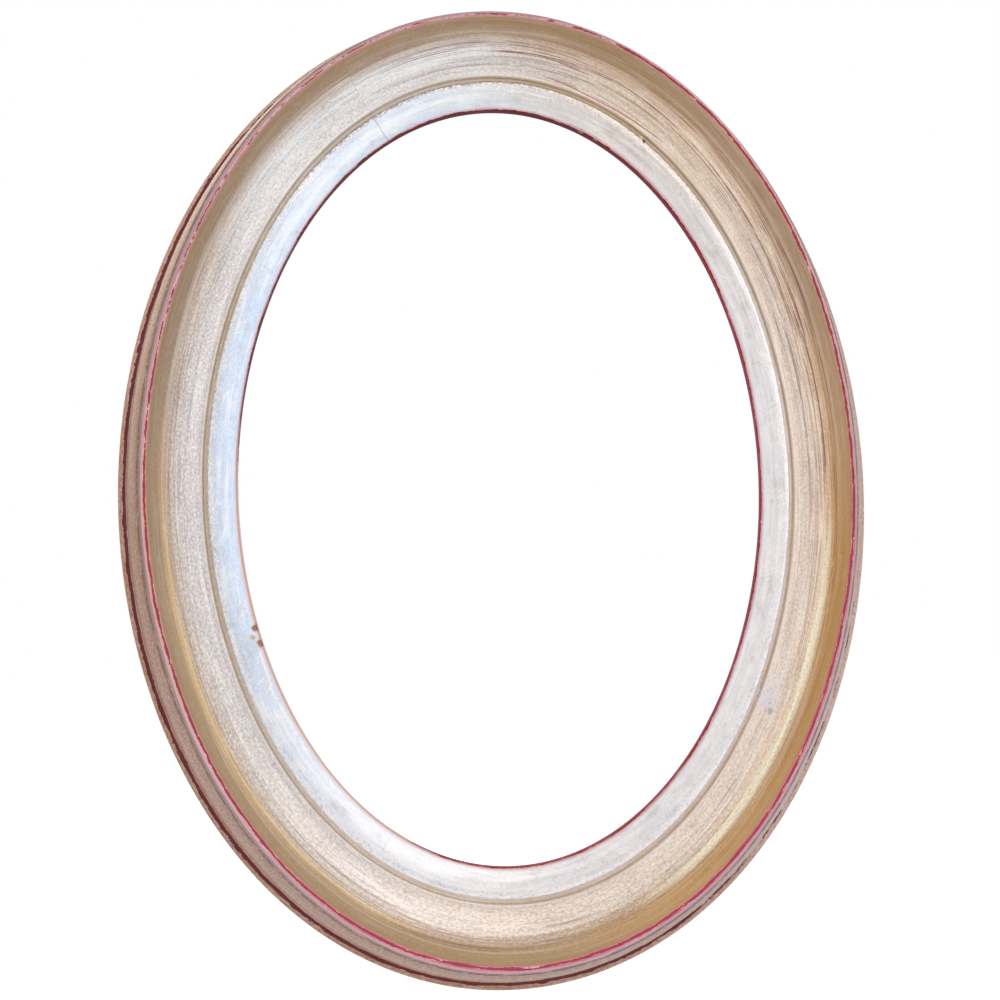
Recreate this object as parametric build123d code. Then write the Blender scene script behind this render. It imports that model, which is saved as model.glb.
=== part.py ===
from build123d import *
import math
import os

# An oval wall frame: four boards joined into a ring, turned to one moulding and
# leafed, with turn buttons, hangers and bumpers on its flat back. Millimetres.
# X is to the right, Z up, and the front faces -Y. The origin is the middle of the
# oval in the plane of the wall, which the bumpers touch.

# Sight opening, measured edge to edge
sight_width = 339.0
sight_height = 493.0

# The oval is drawn with tangent arcs. These are its own angles, in degrees from its
# top, where one arc of a quarter passes into the next; the boards meet at one of them
arc_break_angles = (9.7, 25.6, 44.3, 64.9)
board_joint = 1

# Back of the moulding: the rebate for the picture, and the lip that covers its edge
rebate_width = 9.6
rebate_depth = 13.5
lip_wall = 3.5
sight_bevel = 1.6

# Sight band, from its eased edge up to the rubbed arris
band_width = 15.4
band_rise = 4.5
band_crown = 0.7

# Quirk, the narrow flat between the arris and the scoop
quirk_width = 2.7
quirk_fall = 0.5
quirk_riser_run = 0.7
quirk_riser = 2.5

# Scoop, the broad hollow that climbs to the ridge
scoop_width = 27.6
scoop_rise = 23.4
scoop_hollow = 5.2

# Ridge, the highest edge
ridge_width = 3.4
ridge_drop = 0.1
ridge_crown = 1.45

# Outer side: a hollow, a step, a long swelling face, a groove and the foot bead
cove_width = 3.2
cove_drop = 5.9
cove_hollow = 0.9
step_width = 1.0
step_drop = 0.5
side_width = 12.8
side_drop = 28.0
side_crown = 1.1
groove_width = 4.6
groove_drop = 6.6
groove_hollow = 1.3
bead_bulge = 3.6
foot_height = 1.6

# Flats that stand for each curved member of the section
band_facets = 2
scoop_facets = 5
ridge_facets = 3
cove_facets = 2
side_facets = 2
groove_facets = 2
bead_facets = 4

# Loose tongue in each board joint: its middle out from the sight edge and up from the back
tongue_out = 40.0
tongue_up = 12.0
tongue_width = 42.0
tongue_thickness = 6.0
tongue_length = 40.0
tongue_glue_gap = 0.1
tongue_end_gap = 1.0

# Turn buttons, parked along the moulding
button_angles = {
    "top": 0.0,
    "upper_right": 62.0,
    "lower_right": 118.0,
    "bottom": 180.0,
    "lower_left": 242.0,
    "upper_left": 298.0,
}
button_inset = 8.4
button_width = 10.0
button_tip_width = 6.4
button_reach = 17.0
button_thickness = 1.5
button_end_facets = 6
button_play = 0.1
button_bore_clearance = 0.08

# Round-head wood screws of the turn buttons
button_screw_shank = 3.0
button_screw_length = 13.0
button_screw_head = 7.0
button_screw_head_height = 2.2

# Strap hangers: one strap, rolled into an eye round the leg of a D ring
hanger_angle = 66.0
hanger_out = 46.0
strap_width = 12.0
strap_thickness = 1.2
strap_drop = 38.0
strap_end_facets = 8
strap_first_screw = 20.0
strap_second_screw = 31.5
strap_hole_clearance = 0.2
ring_wire = 2.8
ring_leg = 14.0
ring_corner = 3.0
ring_wire_facets = 8
ring_corner_facets = 3
ring_bow_facets = 10
ring_eye_clearance = 0.08

# Round-head wood screws of the straps
strap_screw_shank = 3.4
strap_screw_length = 14.0
strap_screw_head = 7.2
strap_screw_head_height = 2.4

# Values shared by all screws
screw_hole_gap = 0.05
screw_hole_spare = 1.0
screw_tip = 3.0
screw_tip_share = 0.2
screw_crown_share = 0.45
screw_facets = 8
cut_overrun = 1.0

# Bumpers that hold the frame off the wall
bumper_angle = 146.0
bumper_out = 44.0
bumper_diameter = 13.0
bumper_thickness = 6.0

# Places worked out from the sizes above
half_width = sight_width / 2
half_height = sight_height / 2
back_y = -bumper_thickness
eye_radius = ring_wire / 2 + ring_eye_clearance
eye_outer_radius = eye_radius + strap_thickness
joint_corners = {
    "upper_right": (1, 1),
    "lower_right": (1, -1),
    "lower_left": (-1, -1),
    "upper_left": (-1, 1),
}


def sight_point(angle):
    """Point of the sight oval, in the plane of the moulding's back."""
    turn = math.radians(angle)
    return Vector(half_width * math.sin(turn), back_y, half_height * math.cos(turn))


def outward(angle):
    """Direction square to the sight oval, away from the opening."""
    turn = math.radians(angle)
    return Vector(half_height * math.sin(turn), 0, half_width * math.cos(turn)).normalized()


def across(point, normal):
    """Plane across the moulding: x outward from the sight edge, y forward from the back."""
    return Plane(origin=point, x_dir=normal, z_dir=Vector(0, 1, 0).cross(normal))


def back_plane(angle, out):
    """Plane on the moulding's back, out from the sight edge: x outward, z to the wall."""
    origin = sight_point(angle) + outward(angle) * out
    return Plane(origin=origin, x_dir=outward(angle), z_dir=(0, 1, 0))


def along(arc, facets):
    """Points on an arc after its start, at the ends of equal flats."""
    return [arc @ (step / facets) for step in range(1, facets + 1)]


def straight(points, run, rise):
    """Carry an outline on by a straight member."""
    points.append(points[-1] + Vector(run, rise))


def curved(points, run, rise, bulge, facets):
    """Carry an outline on by a curved member that bulges to the left of its way."""
    arc = SagittaArc(points[-1], points[-1] + Vector(run, rise), bulge)
    points.extend(along(arc, facets))


def moulding_section():
    """The turned section: the rebate and lip, then the face from sight edge to foot."""
    points = [Vector(rebate_width, 0)]
    straight(points, 0, rebate_depth)
    straight(points, -rebate_width, 0)
    straight(points, 0, lip_wall)
    straight(points, sight_bevel, sight_bevel)
    curved(points, band_width, band_rise, band_crown, band_facets)
    straight(points, quirk_width, -quirk_fall)
    straight(points, quirk_riser_run, quirk_riser)
    curved(points, scoop_width, scoop_rise, -scoop_hollow, scoop_facets)
    curved(points, ridge_width, -ridge_drop, ridge_crown, ridge_facets)
    curved(points, cove_width, -cove_drop, -cove_hollow, cove_facets)
    straight(points, step_width, -step_drop)
    curved(points, side_width, -side_drop, side_crown, side_facets)
    curved(points, groove_width, -groove_drop, -groove_hollow, groove_facets)
    curved(points, 0, foot_height - points[-1].Y, bead_bulge, bead_facets)
    straight(points, 0, -foot_height)
    return make_face(Polyline(points, close=True))


def oval_quarter():
    """Arcs of the upper right quarter, from the top to the right side.

    Each arc leaves the oval square to one normal and lands on it square to the next,
    which settles its radius; the last has its centre level with the middle. Each is
    given as its start on the oval, its centre, and its first and last normal.
    """
    normals = [outward(angle) for angle in (0, *arc_break_angles, 90)]
    start = sight_point(0)
    arcs = []
    for first, last in zip(normals[:-1], normals[1:]):
        turn = last - first
        lean = start.X * turn.X / half_width**2 + start.Z * turn.Z / half_height**2
        chord = (turn.X / half_width) ** 2 + (turn.Z / half_height) ** 2
        radius = -2 * lean / chord
        if len(arcs) == len(arc_break_angles):
            radius = start.Z / first.Z
        centre = start - first * radius
        arcs.append((start, centre, first, last))
        start = centre + last * radius
    return arcs


def turned(arcs, section):
    """The section carried round the given arcs, one revolve to each."""
    stretches = []
    for start, centre, first, last in arcs:
        face = across(start, first) * section
        stretches.append(revolve(face, Axis(centre, (0, 1, 0)), first.get_angle(last)))
    return stretches


def tongue_place(corner):
    """Plane at the middle of a joint's tongue: x outward, y forward, z across the joint."""
    start, centre, first, last = oval_quarter()[board_joint + 1]
    side, height = corner
    point = Vector(side * start.X, start.Y, height * start.Z)
    joint = across(point, Vector(side * first.X, 0, height * first.Z))
    return joint * Pos(tongue_out, tongue_up)


def joint_tongue(corner):
    """The loose tongue of one board joint."""
    return tongue_place(corner) * Box(tongue_width, tongue_thickness, tongue_length)


def tongue_slots():
    """Slots for all the tongues, a little thicker, wider and deeper than they are."""
    width = tongue_width + 2 * tongue_end_gap
    thickness = tongue_thickness + 2 * tongue_glue_gap
    length = tongue_length + 2 * tongue_end_gap
    return [tongue_place(corner) * Box(width, thickness, length) for corner in joint_corners.values()]


def pilot_hole(plane, shank, depth):
    """Hole in the wood for a screw's shank, from the back inward."""
    outline = RegularPolygon(shank / 2 + screw_hole_gap, screw_facets)
    return plane * Pos(0, 0, cut_overrun) * extrude(outline, -depth - screw_hole_spare - cut_overrun)


def button_plane(angle):
    """Plane of a turn button's pivot on the back of the moulding."""
    return back_plane(angle, rebate_width + button_inset)


def strap_eye_plane(side):
    """Plane at a hanger's eye on the moulding's back: y up, z to the wall."""
    centre = sight_point(hanger_angle) + outward(hanger_angle) * hanger_out
    origin = (side * centre.X, back_y, centre.Z)
    return Plane(origin=origin, x_dir=(-1, 0, 0), z_dir=(0, 1, 0))


def strap_screw_planes(side):
    """Planes of the two screws below a hanger's eye."""
    eye = strap_eye_plane(side)
    return [eye * Pos(0, -drop) for drop in (strap_first_screw, strap_second_screw)]


def screw_holes():
    """Pilot holes of every screw in the back."""
    button_depth = button_screw_length - button_thickness - 2 * button_play
    strap_depth = strap_screw_length - strap_thickness
    holes = []
    for angle in button_angles.values():
        holes.append(pilot_hole(button_plane(angle), button_screw_shank, button_depth))
    for side in (-1, 1):
        for plane in strap_screw_planes(side):
            holes.append(pilot_hole(plane, strap_screw_shank, strap_depth))
    return holes


def board(arcs, middle, cuts):
    """One board: a half turned round its arcs and its mirror image, less the cuts in it."""
    half = turned(arcs, moulding_section())
    body = Part() + half + [mirror(stretch, middle) for stretch in half]
    reach = body.bounding_box()
    return body - [cut for cut in cuts if cut.bounding_box().overlaps(reach)]


def tapered(radius, length, share):
    """A prism of a screw's flats that narrows along z to a share of its radius."""
    slope = math.degrees(math.atan2(radius * (1 - share), length))
    return extrude(RegularPolygon(radius, screw_facets), length, taper=slope)


def round_head_screw(shank, length, head, head_height):
    """Round-head wood screw in flats: its seat at z = 0, its point downward."""
    body = extrude(RegularPolygon(shank / 2, screw_facets), screw_tip - length)
    tip = mirror(tapered(shank / 2, screw_tip, screw_tip_share), Plane.XY)
    dome = tapered(head / 2, head_height, screw_crown_share)
    return dome + body + Pos(0, 0, screw_tip - length) * tip


def turn_button(angle):
    """A turn button parked along the moulding: a tapering plate with round ends."""
    pivot_radius = button_width / 2
    tip_radius = button_tip_width / 2
    points = [Vector(pivot_radius, 0)]
    curved(points, -button_width, 0, pivot_radius, button_end_facets)
    straight(points, pivot_radius - tip_radius, button_reach - tip_radius)
    curved(points, button_tip_width, 0, tip_radius, button_end_facets)
    plate = extrude(make_face(Polyline(points, close=True)), button_thickness)
    bore = Cylinder(button_screw_shank / 2 + button_bore_clearance, 2 * button_thickness + cut_overrun)
    return button_plane(angle) * Pos(0, 0, button_play) * (plate - bore)


def button_screws():
    """The screws that the turn buttons pivot on, each with play above and below its plate."""
    seat = button_thickness + 2 * button_play
    screw = round_head_screw(
        button_screw_shank, button_screw_length, button_screw_head, button_screw_head_height
    )
    return [button_plane(angle) * Pos(0, 0, seat) * screw for angle in button_angles.values()]


def hanger_strap(side):
    """A strap hanger: a plate with a round end and two holes, rolled into an eye at its top."""
    half = strap_width / 2
    points = [Vector(-half, 0)]
    straight(points, 0, half - strap_drop)
    curved(points, strap_width, 0, -half, strap_end_facets)
    straight(points, 0, strap_drop - half)
    blank = make_face(Polyline(points, close=True))
    for drop in (strap_first_screw, strap_second_screw):
        blank -= Pos(0, -drop) * Circle(strap_screw_shank / 2 + strap_hole_clearance)
    eye = Circle(eye_outer_radius) - Circle(eye_radius)
    roll = extrude(Plane.YZ * eye, half, both=True)
    strap = extrude(blank, strap_thickness) + Pos(0, 0, eye_outer_radius) * roll
    return strap_eye_plane(side) * strap


def hanger_ring(side):
    """A D ring hanging from its eye: a round leg in the eye, two corners and a bow."""
    half_leg = ring_leg / 2
    bow_radius = half_leg + ring_corner
    first = RadiusArc((half_leg, 0), (bow_radius, -ring_corner), ring_corner)
    bow = SagittaArc((bow_radius, -ring_corner), (-bow_radius, -ring_corner), bow_radius)
    last = RadiusArc((-bow_radius, -ring_corner), (-half_leg, 0), ring_corner)
    points = [Vector(half_leg, 0)]
    points += along(first, ring_corner_facets)
    points += along(bow, ring_bow_facets)
    points += along(last, ring_corner_facets)
    wire = RegularPolygon(ring_wire / 2, ring_wire_facets)
    bow_start = Plane(origin=points[0], z_dir=points[1] - points[0])
    bent = sweep(bow_start * wire, Polyline(points), transition=Transition.RIGHT)
    leg = extrude(Plane.YZ * Circle(ring_wire / 2), half_leg, both=True)
    return strap_eye_plane(side) * Pos(0, 0, eye_outer_radius) * (leg + bent)


def hanger_screws():
    """The screws of both straps."""
    screw = round_head_screw(
        strap_screw_shank, strap_screw_length, strap_screw_head, strap_screw_head_height
    )
    planes = [plane for side in (-1, 1) for plane in strap_screw_planes(side)]
    return [plane * Pos(0, 0, strap_thickness) * screw for plane in planes]


def wall_bumper(angle):
    """A round flat bumper between the back and the wall."""
    disc = Cylinder(bumper_diameter / 2, bumper_thickness, align=(Align.CENTER, Align.CENTER, Align.MIN))
    return back_plane(angle, bumper_out) * disc


def build_all():
    """All the pieces by name."""
    cuts = tongue_slots() + screw_holes()
    arcs = oval_quarter()
    top = board(arcs[: board_joint + 1], Plane.YZ, cuts)
    right = board(arcs[board_joint + 1 :], Plane.XY, cuts)
    pieces = {
        "moulding_top": top,
        "moulding_right": right,
        "moulding_bottom": mirror(top, Plane.XY),
        "moulding_left": mirror(right, Plane.YZ),
        "turn_button_screws": button_screws(),
        "hanger_screws": hanger_screws(),
    }
    for name, corner in joint_corners.items():
        pieces["joint_tongue_" + name] = joint_tongue(corner)
    for name, angle in button_angles.items():
        pieces["turn_button_" + name] = turn_button(angle)
    for name, side in (("left", -1), ("right", 1)):
        pieces["hanger_strap_" + name] = hanger_strap(side)
        pieces["hanger_ring_" + name] = hanger_ring(side)
        pieces["wall_bumper_" + name] = wall_bumper(side * bumper_angle)
    return pieces


def write_all(pieces):
    """Write each piece, or group of like pieces, to its own file."""
    os.makedirs("parts", exist_ok=True)
    for name, piece in pieces.items():
        solids = piece if isinstance(piece, list) else [piece]
        group = Compound(children=[solid for item in solids for solid in item.solids()])
        export_step(group, "parts/" + name + ".step")
        print(name, len(group.solids()), "solids", round(group.volume), "mm3")


write_all(build_all())
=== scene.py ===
"""An oval wall frame of turned and leafed wood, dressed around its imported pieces.

Lengths are in metres. X is to the right, Z up, and the front faces -Y. The origin is the
middle of the oval in the plane of the wall.
"""

import logging
import math
from dataclasses import dataclass
from enum import Enum

import bmesh
import bpy
import numpy as np
from mathutils import Matrix


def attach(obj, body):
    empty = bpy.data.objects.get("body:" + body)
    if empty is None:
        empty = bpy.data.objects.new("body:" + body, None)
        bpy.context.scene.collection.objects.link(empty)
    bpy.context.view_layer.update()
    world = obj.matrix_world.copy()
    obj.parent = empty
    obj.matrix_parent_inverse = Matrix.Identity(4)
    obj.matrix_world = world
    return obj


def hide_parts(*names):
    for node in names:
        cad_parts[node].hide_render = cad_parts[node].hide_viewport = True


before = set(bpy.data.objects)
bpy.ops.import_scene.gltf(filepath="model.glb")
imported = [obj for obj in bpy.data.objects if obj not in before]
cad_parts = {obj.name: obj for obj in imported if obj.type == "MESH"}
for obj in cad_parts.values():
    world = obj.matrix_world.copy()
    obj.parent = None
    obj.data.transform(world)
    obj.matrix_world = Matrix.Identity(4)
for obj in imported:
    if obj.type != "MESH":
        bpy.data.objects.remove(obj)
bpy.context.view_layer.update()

log = logging.getLogger("oval_frame")

IMAGE_SIZE = 1000
MILLIMETRE = 0.001
WELD_REACH = 0.002 * MILLIMETRE
LEAST_EDGE = 0.001 * MILLIMETRE
HARDWARE_SHARP = math.radians(38)
MOULDING_SHARP = math.radians(40)
WHITE = (1.0, 1.0, 1.0, 1.0)

Value = bpy.types.NodeSocket | float | tuple


def linear(red: int, green: int, blue: int) -> tuple[float, float, float, float]:
    """A screen colour from 0 to 255 a channel as linear light: the usual screen curve undone.

    Args:
        red: Red as shown on screen.
        green: Green as shown on screen.
        blue: Blue as shown on screen.

    Returns:
        Red, green, blue and an alpha of 1 in linear light.
    """
    shares = [channel / 255 for channel in (red, green, blue)]
    lights = [s / 12.92 if s <= 0.04045 else ((s + 0.055) / 1.055) ** 2.4 for s in shares]
    return (lights[0], lights[1], lights[2], 1.0)


class Member(Enum):
    """Members of the moulding's section, in order from the lip's back round to the rebate."""

    LIP_WALL = "lip_wall"
    SIGHT_EDGE = "sight_edge"
    BAND = "band"
    QUIRK = "quirk"
    RISER = "riser"
    SCOOP = "scoop"
    RIDGE = "ridge"
    COVE = "cove"
    STEP = "step"
    SIDE = "side"
    GROOVE = "groove"
    BEAD = "bead"
    FOOT = "foot"
    BACK = "back"
    REBATE_WALL = "rebate_wall"
    REBATE_FLOOR = "rebate_floor"


BARE_MEMBERS = (Member.BACK, Member.REBATE_WALL, Member.REBATE_FLOOR)
FRONT_MEMBERS = (
    Member.SIGHT_EDGE, Member.BAND, Member.QUIRK, Member.RISER, Member.SCOOP, Member.RIDGE,
)


class Board(Enum):
    """The four boards of the ring, by the oval's own angles in degrees from its top."""

    TOP = ("moulding_top", -25.6, 25.6)
    RIGHT = ("moulding_right", 25.6, 154.4)
    BOTTOM = ("moulding_bottom", 154.4, 205.6)
    LEFT = ("moulding_left", 205.6, 334.4)


@dataclass(frozen=True)
class SightOval:
    """The oval edge of the opening in the plane of the moulding's back."""

    half_width: float = 0.1695
    half_height: float = 0.2465
    back: float = -0.006
    travel_steps: int = 6001

    def outward(self, turn: np.ndarray) -> tuple[np.ndarray, np.ndarray]:
        """Direction square to the oval: (height sin, width cos), made one long.

        Args:
            turn: The oval's own angles from its top, in radians.

        Returns:
            X and Z of the direction at each angle.
        """
        x = self.half_height * np.sin(turn)
        z = self.half_width * np.cos(turn)
        size = np.hypot(x, z)
        return x / size, z / size

    def place(self, turn: np.ndarray, out: np.ndarray, up: np.ndarray) -> np.ndarray:
        """Points of the ring: the oval's point, plus out along its normal, up from the back.

        Args:
            turn: The oval's own angles from its top, in radians.
            out: Distances outward from the sight edge.
            up: Heights forward from the moulding's back.

        Returns:
            An array of points whose last axis is x, y, z.
        """
        normal_x, normal_z = self.outward(turn)
        x = self.half_width * np.sin(turn) + normal_x * out
        z = self.half_height * np.cos(turn) + normal_z * out
        return np.stack([x, self.back - up, z], axis=-1)

    def travel(self, turn: np.ndarray) -> np.ndarray:
        """Way along the sight edge from the top: its speed summed over small steps.

        Args:
            turn: The oval's own angles from its top, in radians.

        Returns:
            The length of the edge up to each angle, negative before the top.
        """
        fine = np.linspace(-math.pi, 2 * math.pi, self.travel_steps)
        speed = np.hypot(self.half_width * np.cos(fine), self.half_height * np.sin(fine))
        way = np.concatenate([[0.0], np.cumsum((speed[1:] + speed[:-1]) / 2 * np.diff(fine))])
        return np.interp(turn, fine, way) - np.interp(0.0, fine, way)


@dataclass
class Section:
    """Sampled section of the moulding.

    Each sample has its distance out and up, its way round the section, and its member.
    """

    out: np.ndarray
    up: np.ndarray
    way: np.ndarray
    member: np.ndarray
    length: float
    spans: dict[Member, tuple[float, float]]

    def share(self, member: Member, inside: float) -> float:
        """Share of the whole section's length at a share of one member's length."""
        start, end = self.spans[member]
        return (start + (end - start) * inside) / self.length

    def placed(self, stops: tuple) -> list[tuple[float, object]]:
        """Stops as pairs of a share inside a member and a value, placed along the whole section."""
        return [(self.share(member, inside), value) for member, *pairs in stops for inside, value in pairs]

    def front_point(self, out: float) -> tuple[float, float]:
        """Height and way of the front at a distance from the sight edge, up to the ridge's top.

        Args:
            out: The distance out.

        Returns:
            The height above the back and the way round the section.
        """
        front = np.array([member in FRONT_MEMBERS for member in self.member])
        height = np.interp(out, self.out[front], self.up[front])
        return float(height), float(np.interp(out, self.out[front], self.way[front]))


@dataclass(frozen=True)
class MouldingSection:
    """Driving sizes of the moulding's section, as turned.

    Sharp foot and sharp lip are the shares of those members that keep their corners.
    """

    rebate_width: float = 0.0096
    rebate_depth: float = 0.0135
    lip_wall: float = 0.0035
    sight_edge: float = 0.0016
    sight_edge_bulge: float = 0.00046
    band_width: float = 0.0154
    band_rise: float = 0.0045
    band_crown: float = 0.0007
    quirk_width: float = 0.0027
    quirk_fall: float = 0.0005
    quirk_hollow: float = 0.0005
    riser_run: float = 0.0007
    riser_rise: float = 0.0025
    scoop_width: float = 0.0276
    scoop_rise: float = 0.0234
    scoop_hollow: float = 0.0052
    ridge_width: float = 0.0034
    ridge_drop: float = 0.0001
    ridge_crown: float = 0.00125
    cove_width: float = 0.0032
    cove_drop: float = 0.0059
    cove_hollow: float = 0.0009
    step_width: float = 0.0010
    step_drop: float = 0.0005
    side_width: float = 0.0128
    side_drop: float = 0.0280
    side_crown: float = 0.0010
    groove_width: float = 0.0046
    groove_drop: float = 0.0066
    groove_hollow: float = 0.0013
    bead_bulge: float = 0.00345
    foot_height: float = 0.0016
    fine_step: float = 0.00022
    broad_step: float = 0.00085
    edge_reach: float = 0.0007
    edge_radius: float = 0.00028
    bare_points: int = 5
    sharp_foot: float = 0.4
    sharp_lip: float = 0.3

    def members(self) -> list[tuple[Member, float, float, float]]:
        """The members as steps: each with its run, its rise and its bulge to the left.

        Returns:
            One entry for each member, in order; together they close on the lip's back.
        """
        top = self.rebate_depth + self.lip_wall + self.sight_edge + self.band_rise
        top += self.riser_rise - self.quirk_fall + self.scoop_rise - self.ridge_drop
        bead_top = top - self.cove_drop - self.step_drop - self.side_drop - self.groove_drop
        width = self.sight_edge + self.band_width + self.quirk_width + self.riser_run
        width += self.scoop_width + self.ridge_width + self.cove_width + self.step_width
        width += self.side_width + self.groove_width
        return [
            (Member.LIP_WALL, 0.0, self.lip_wall, 0.0),
            (Member.SIGHT_EDGE, self.sight_edge, self.sight_edge, self.sight_edge_bulge),
            (Member.BAND, self.band_width, self.band_rise, self.band_crown),
            (Member.QUIRK, self.quirk_width, -self.quirk_fall, -self.quirk_hollow),
            (Member.RISER, self.riser_run, self.riser_rise, 0.0),
            (Member.SCOOP, self.scoop_width, self.scoop_rise, -self.scoop_hollow),
            (Member.RIDGE, self.ridge_width, -self.ridge_drop, self.ridge_crown),
            (Member.COVE, self.cove_width, -self.cove_drop, -self.cove_hollow),
            (Member.STEP, self.step_width, -self.step_drop, 0.0),
            (Member.SIDE, self.side_width, -self.side_drop, self.side_crown),
            (Member.GROOVE, self.groove_width, -self.groove_drop, -self.groove_hollow),
            (Member.BEAD, 0.0, self.foot_height - bead_top, self.bead_bulge),
            (Member.FOOT, 0.0, -self.foot_height, 0.0),
            (Member.BACK, self.rebate_width - width, 0.0, 0.0),
            (Member.REBATE_WALL, 0.0, self.rebate_depth, 0.0),
            (Member.REBATE_FLOOR, -self.rebate_width, 0.0, 0.0),
        ]

    def sampled(self) -> Section:
        """The section as samples, close together beside each edge and wider apart between.

        Returns:
            The samples, without the last point, which is the first again.
        """
        outs, ups, ways, names = [], [], [], []
        spans = {}
        at = np.array([0.0, self.rebate_depth])
        way = 0.0
        for member, run, rise, bulge in self.members():
            line = self.member_line(at, at + np.array([run, rise]), bulge, member)
            steps = np.concatenate([[0.0], np.cumsum(np.hypot(*np.diff(line, axis=0).T))])
            outs.append(line[:-1, 0])
            ups.append(line[:-1, 1])
            ways.append(way + steps[:-1])
            names += [member] * (len(line) - 1)
            spans[member] = (way, way + steps[-1])
            at = line[-1]
            way += steps[-1]
        out, up = np.concatenate(outs), np.concatenate(ups)
        bare = np.array([name in BARE_MEMBERS for name in names])
        out, up = self.eased(out, up, np.concatenate(ways), way, bare)
        return Section(out, up, np.concatenate(ways), np.array(names), way, spans)

    def member_line(
        self, start: np.ndarray, end: np.ndarray, bulge: float, member: Member
    ) -> np.ndarray:
        """One member as points: an arc through both ends that stands off the chord by the bulge.

        The arc's half angle is twice the arctangent of the bulge over half the chord. A
        point at a share of the arc is the chord's point plus the arc's height above it.

        Args:
            start: The first point, out and up.
            end: The last point.
            bulge: How far the arc's middle stands to the left of the chord.
            member: Which member it is, because bare ones need few points.

        Returns:
            Points from start to end, both included.
        """
        chord = end - start
        size = float(np.hypot(*chord))
        shares = self.member_shares(size, member)
        along = chord / size
        left = np.array([-along[1], along[0]])
        if bulge == 0:
            return start + shares[:, None] * chord
        half_angle = 2 * math.atan2(2 * bulge, size)
        radius = size / (2 * math.sin(half_angle))
        angle = (2 * shares - 1) * half_angle
        run = size / 2 + radius * np.sin(angle)
        height = radius * (np.cos(angle) - math.cos(half_angle))
        return start + run[:, None] * along + height[:, None] * left

    def member_shares(self, size: float, member: Member) -> np.ndarray:
        """Shares along a member from 0 to 1: fine steps within the edges' reach, broad ones between.

        Args:
            size: The member's length.
            member: Which member it is.

        Returns:
            Rising shares with both ends.
        """
        if member in BARE_MEMBERS:
            return np.linspace(0, 1, self.bare_points)
        edge = min(self.edge_reach, size / 2)
        fine = max(2, round(edge / self.fine_step))
        broad = max(1, round((size - 2 * edge) / self.broad_step))
        first = np.linspace(0, edge, fine + 1)
        middle = np.linspace(edge, size - edge, broad + 1)
        last = np.linspace(size - edge, size, fine + 1)
        return np.unique(np.round(np.concatenate([first, middle, last]) / size, 9))

    def eased(
        self, out: np.ndarray, up: np.ndarray, way: np.ndarray, length: float, bare: np.ndarray
    ) -> tuple[np.ndarray, np.ndarray]:
        """Edges eased by leaf and wear: each sample is the mean of its neighbourhood, bell weighted.

        Args:
            out: Distances outward.
            up: Heights.
            way: Way round the section.
            length: The whole way round.
            bare: True where the wood is bare and keeps its sharp corners.

        Returns:
            The eased out and up.
        """
        fine = np.arange(0, length, self.fine_step / 4)
        fine_out = np.interp(fine, way, out, period=length)
        fine_up = np.interp(fine, way, up, period=length)
        gap = np.abs(way[:, None] - fine[None, :])
        gap = np.minimum(gap, length - gap)
        weight = np.exp(-0.5 * (gap / self.edge_radius) ** 2)
        weight /= weight.sum(axis=1, keepdims=True)
        keep = bare | (up < self.sharp_foot * self.foot_height) | (way < self.sharp_lip * self.lip_wall)
        return np.where(keep, out, weight @ fine_out), np.where(keep, up, weight @ fine_up)


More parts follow.
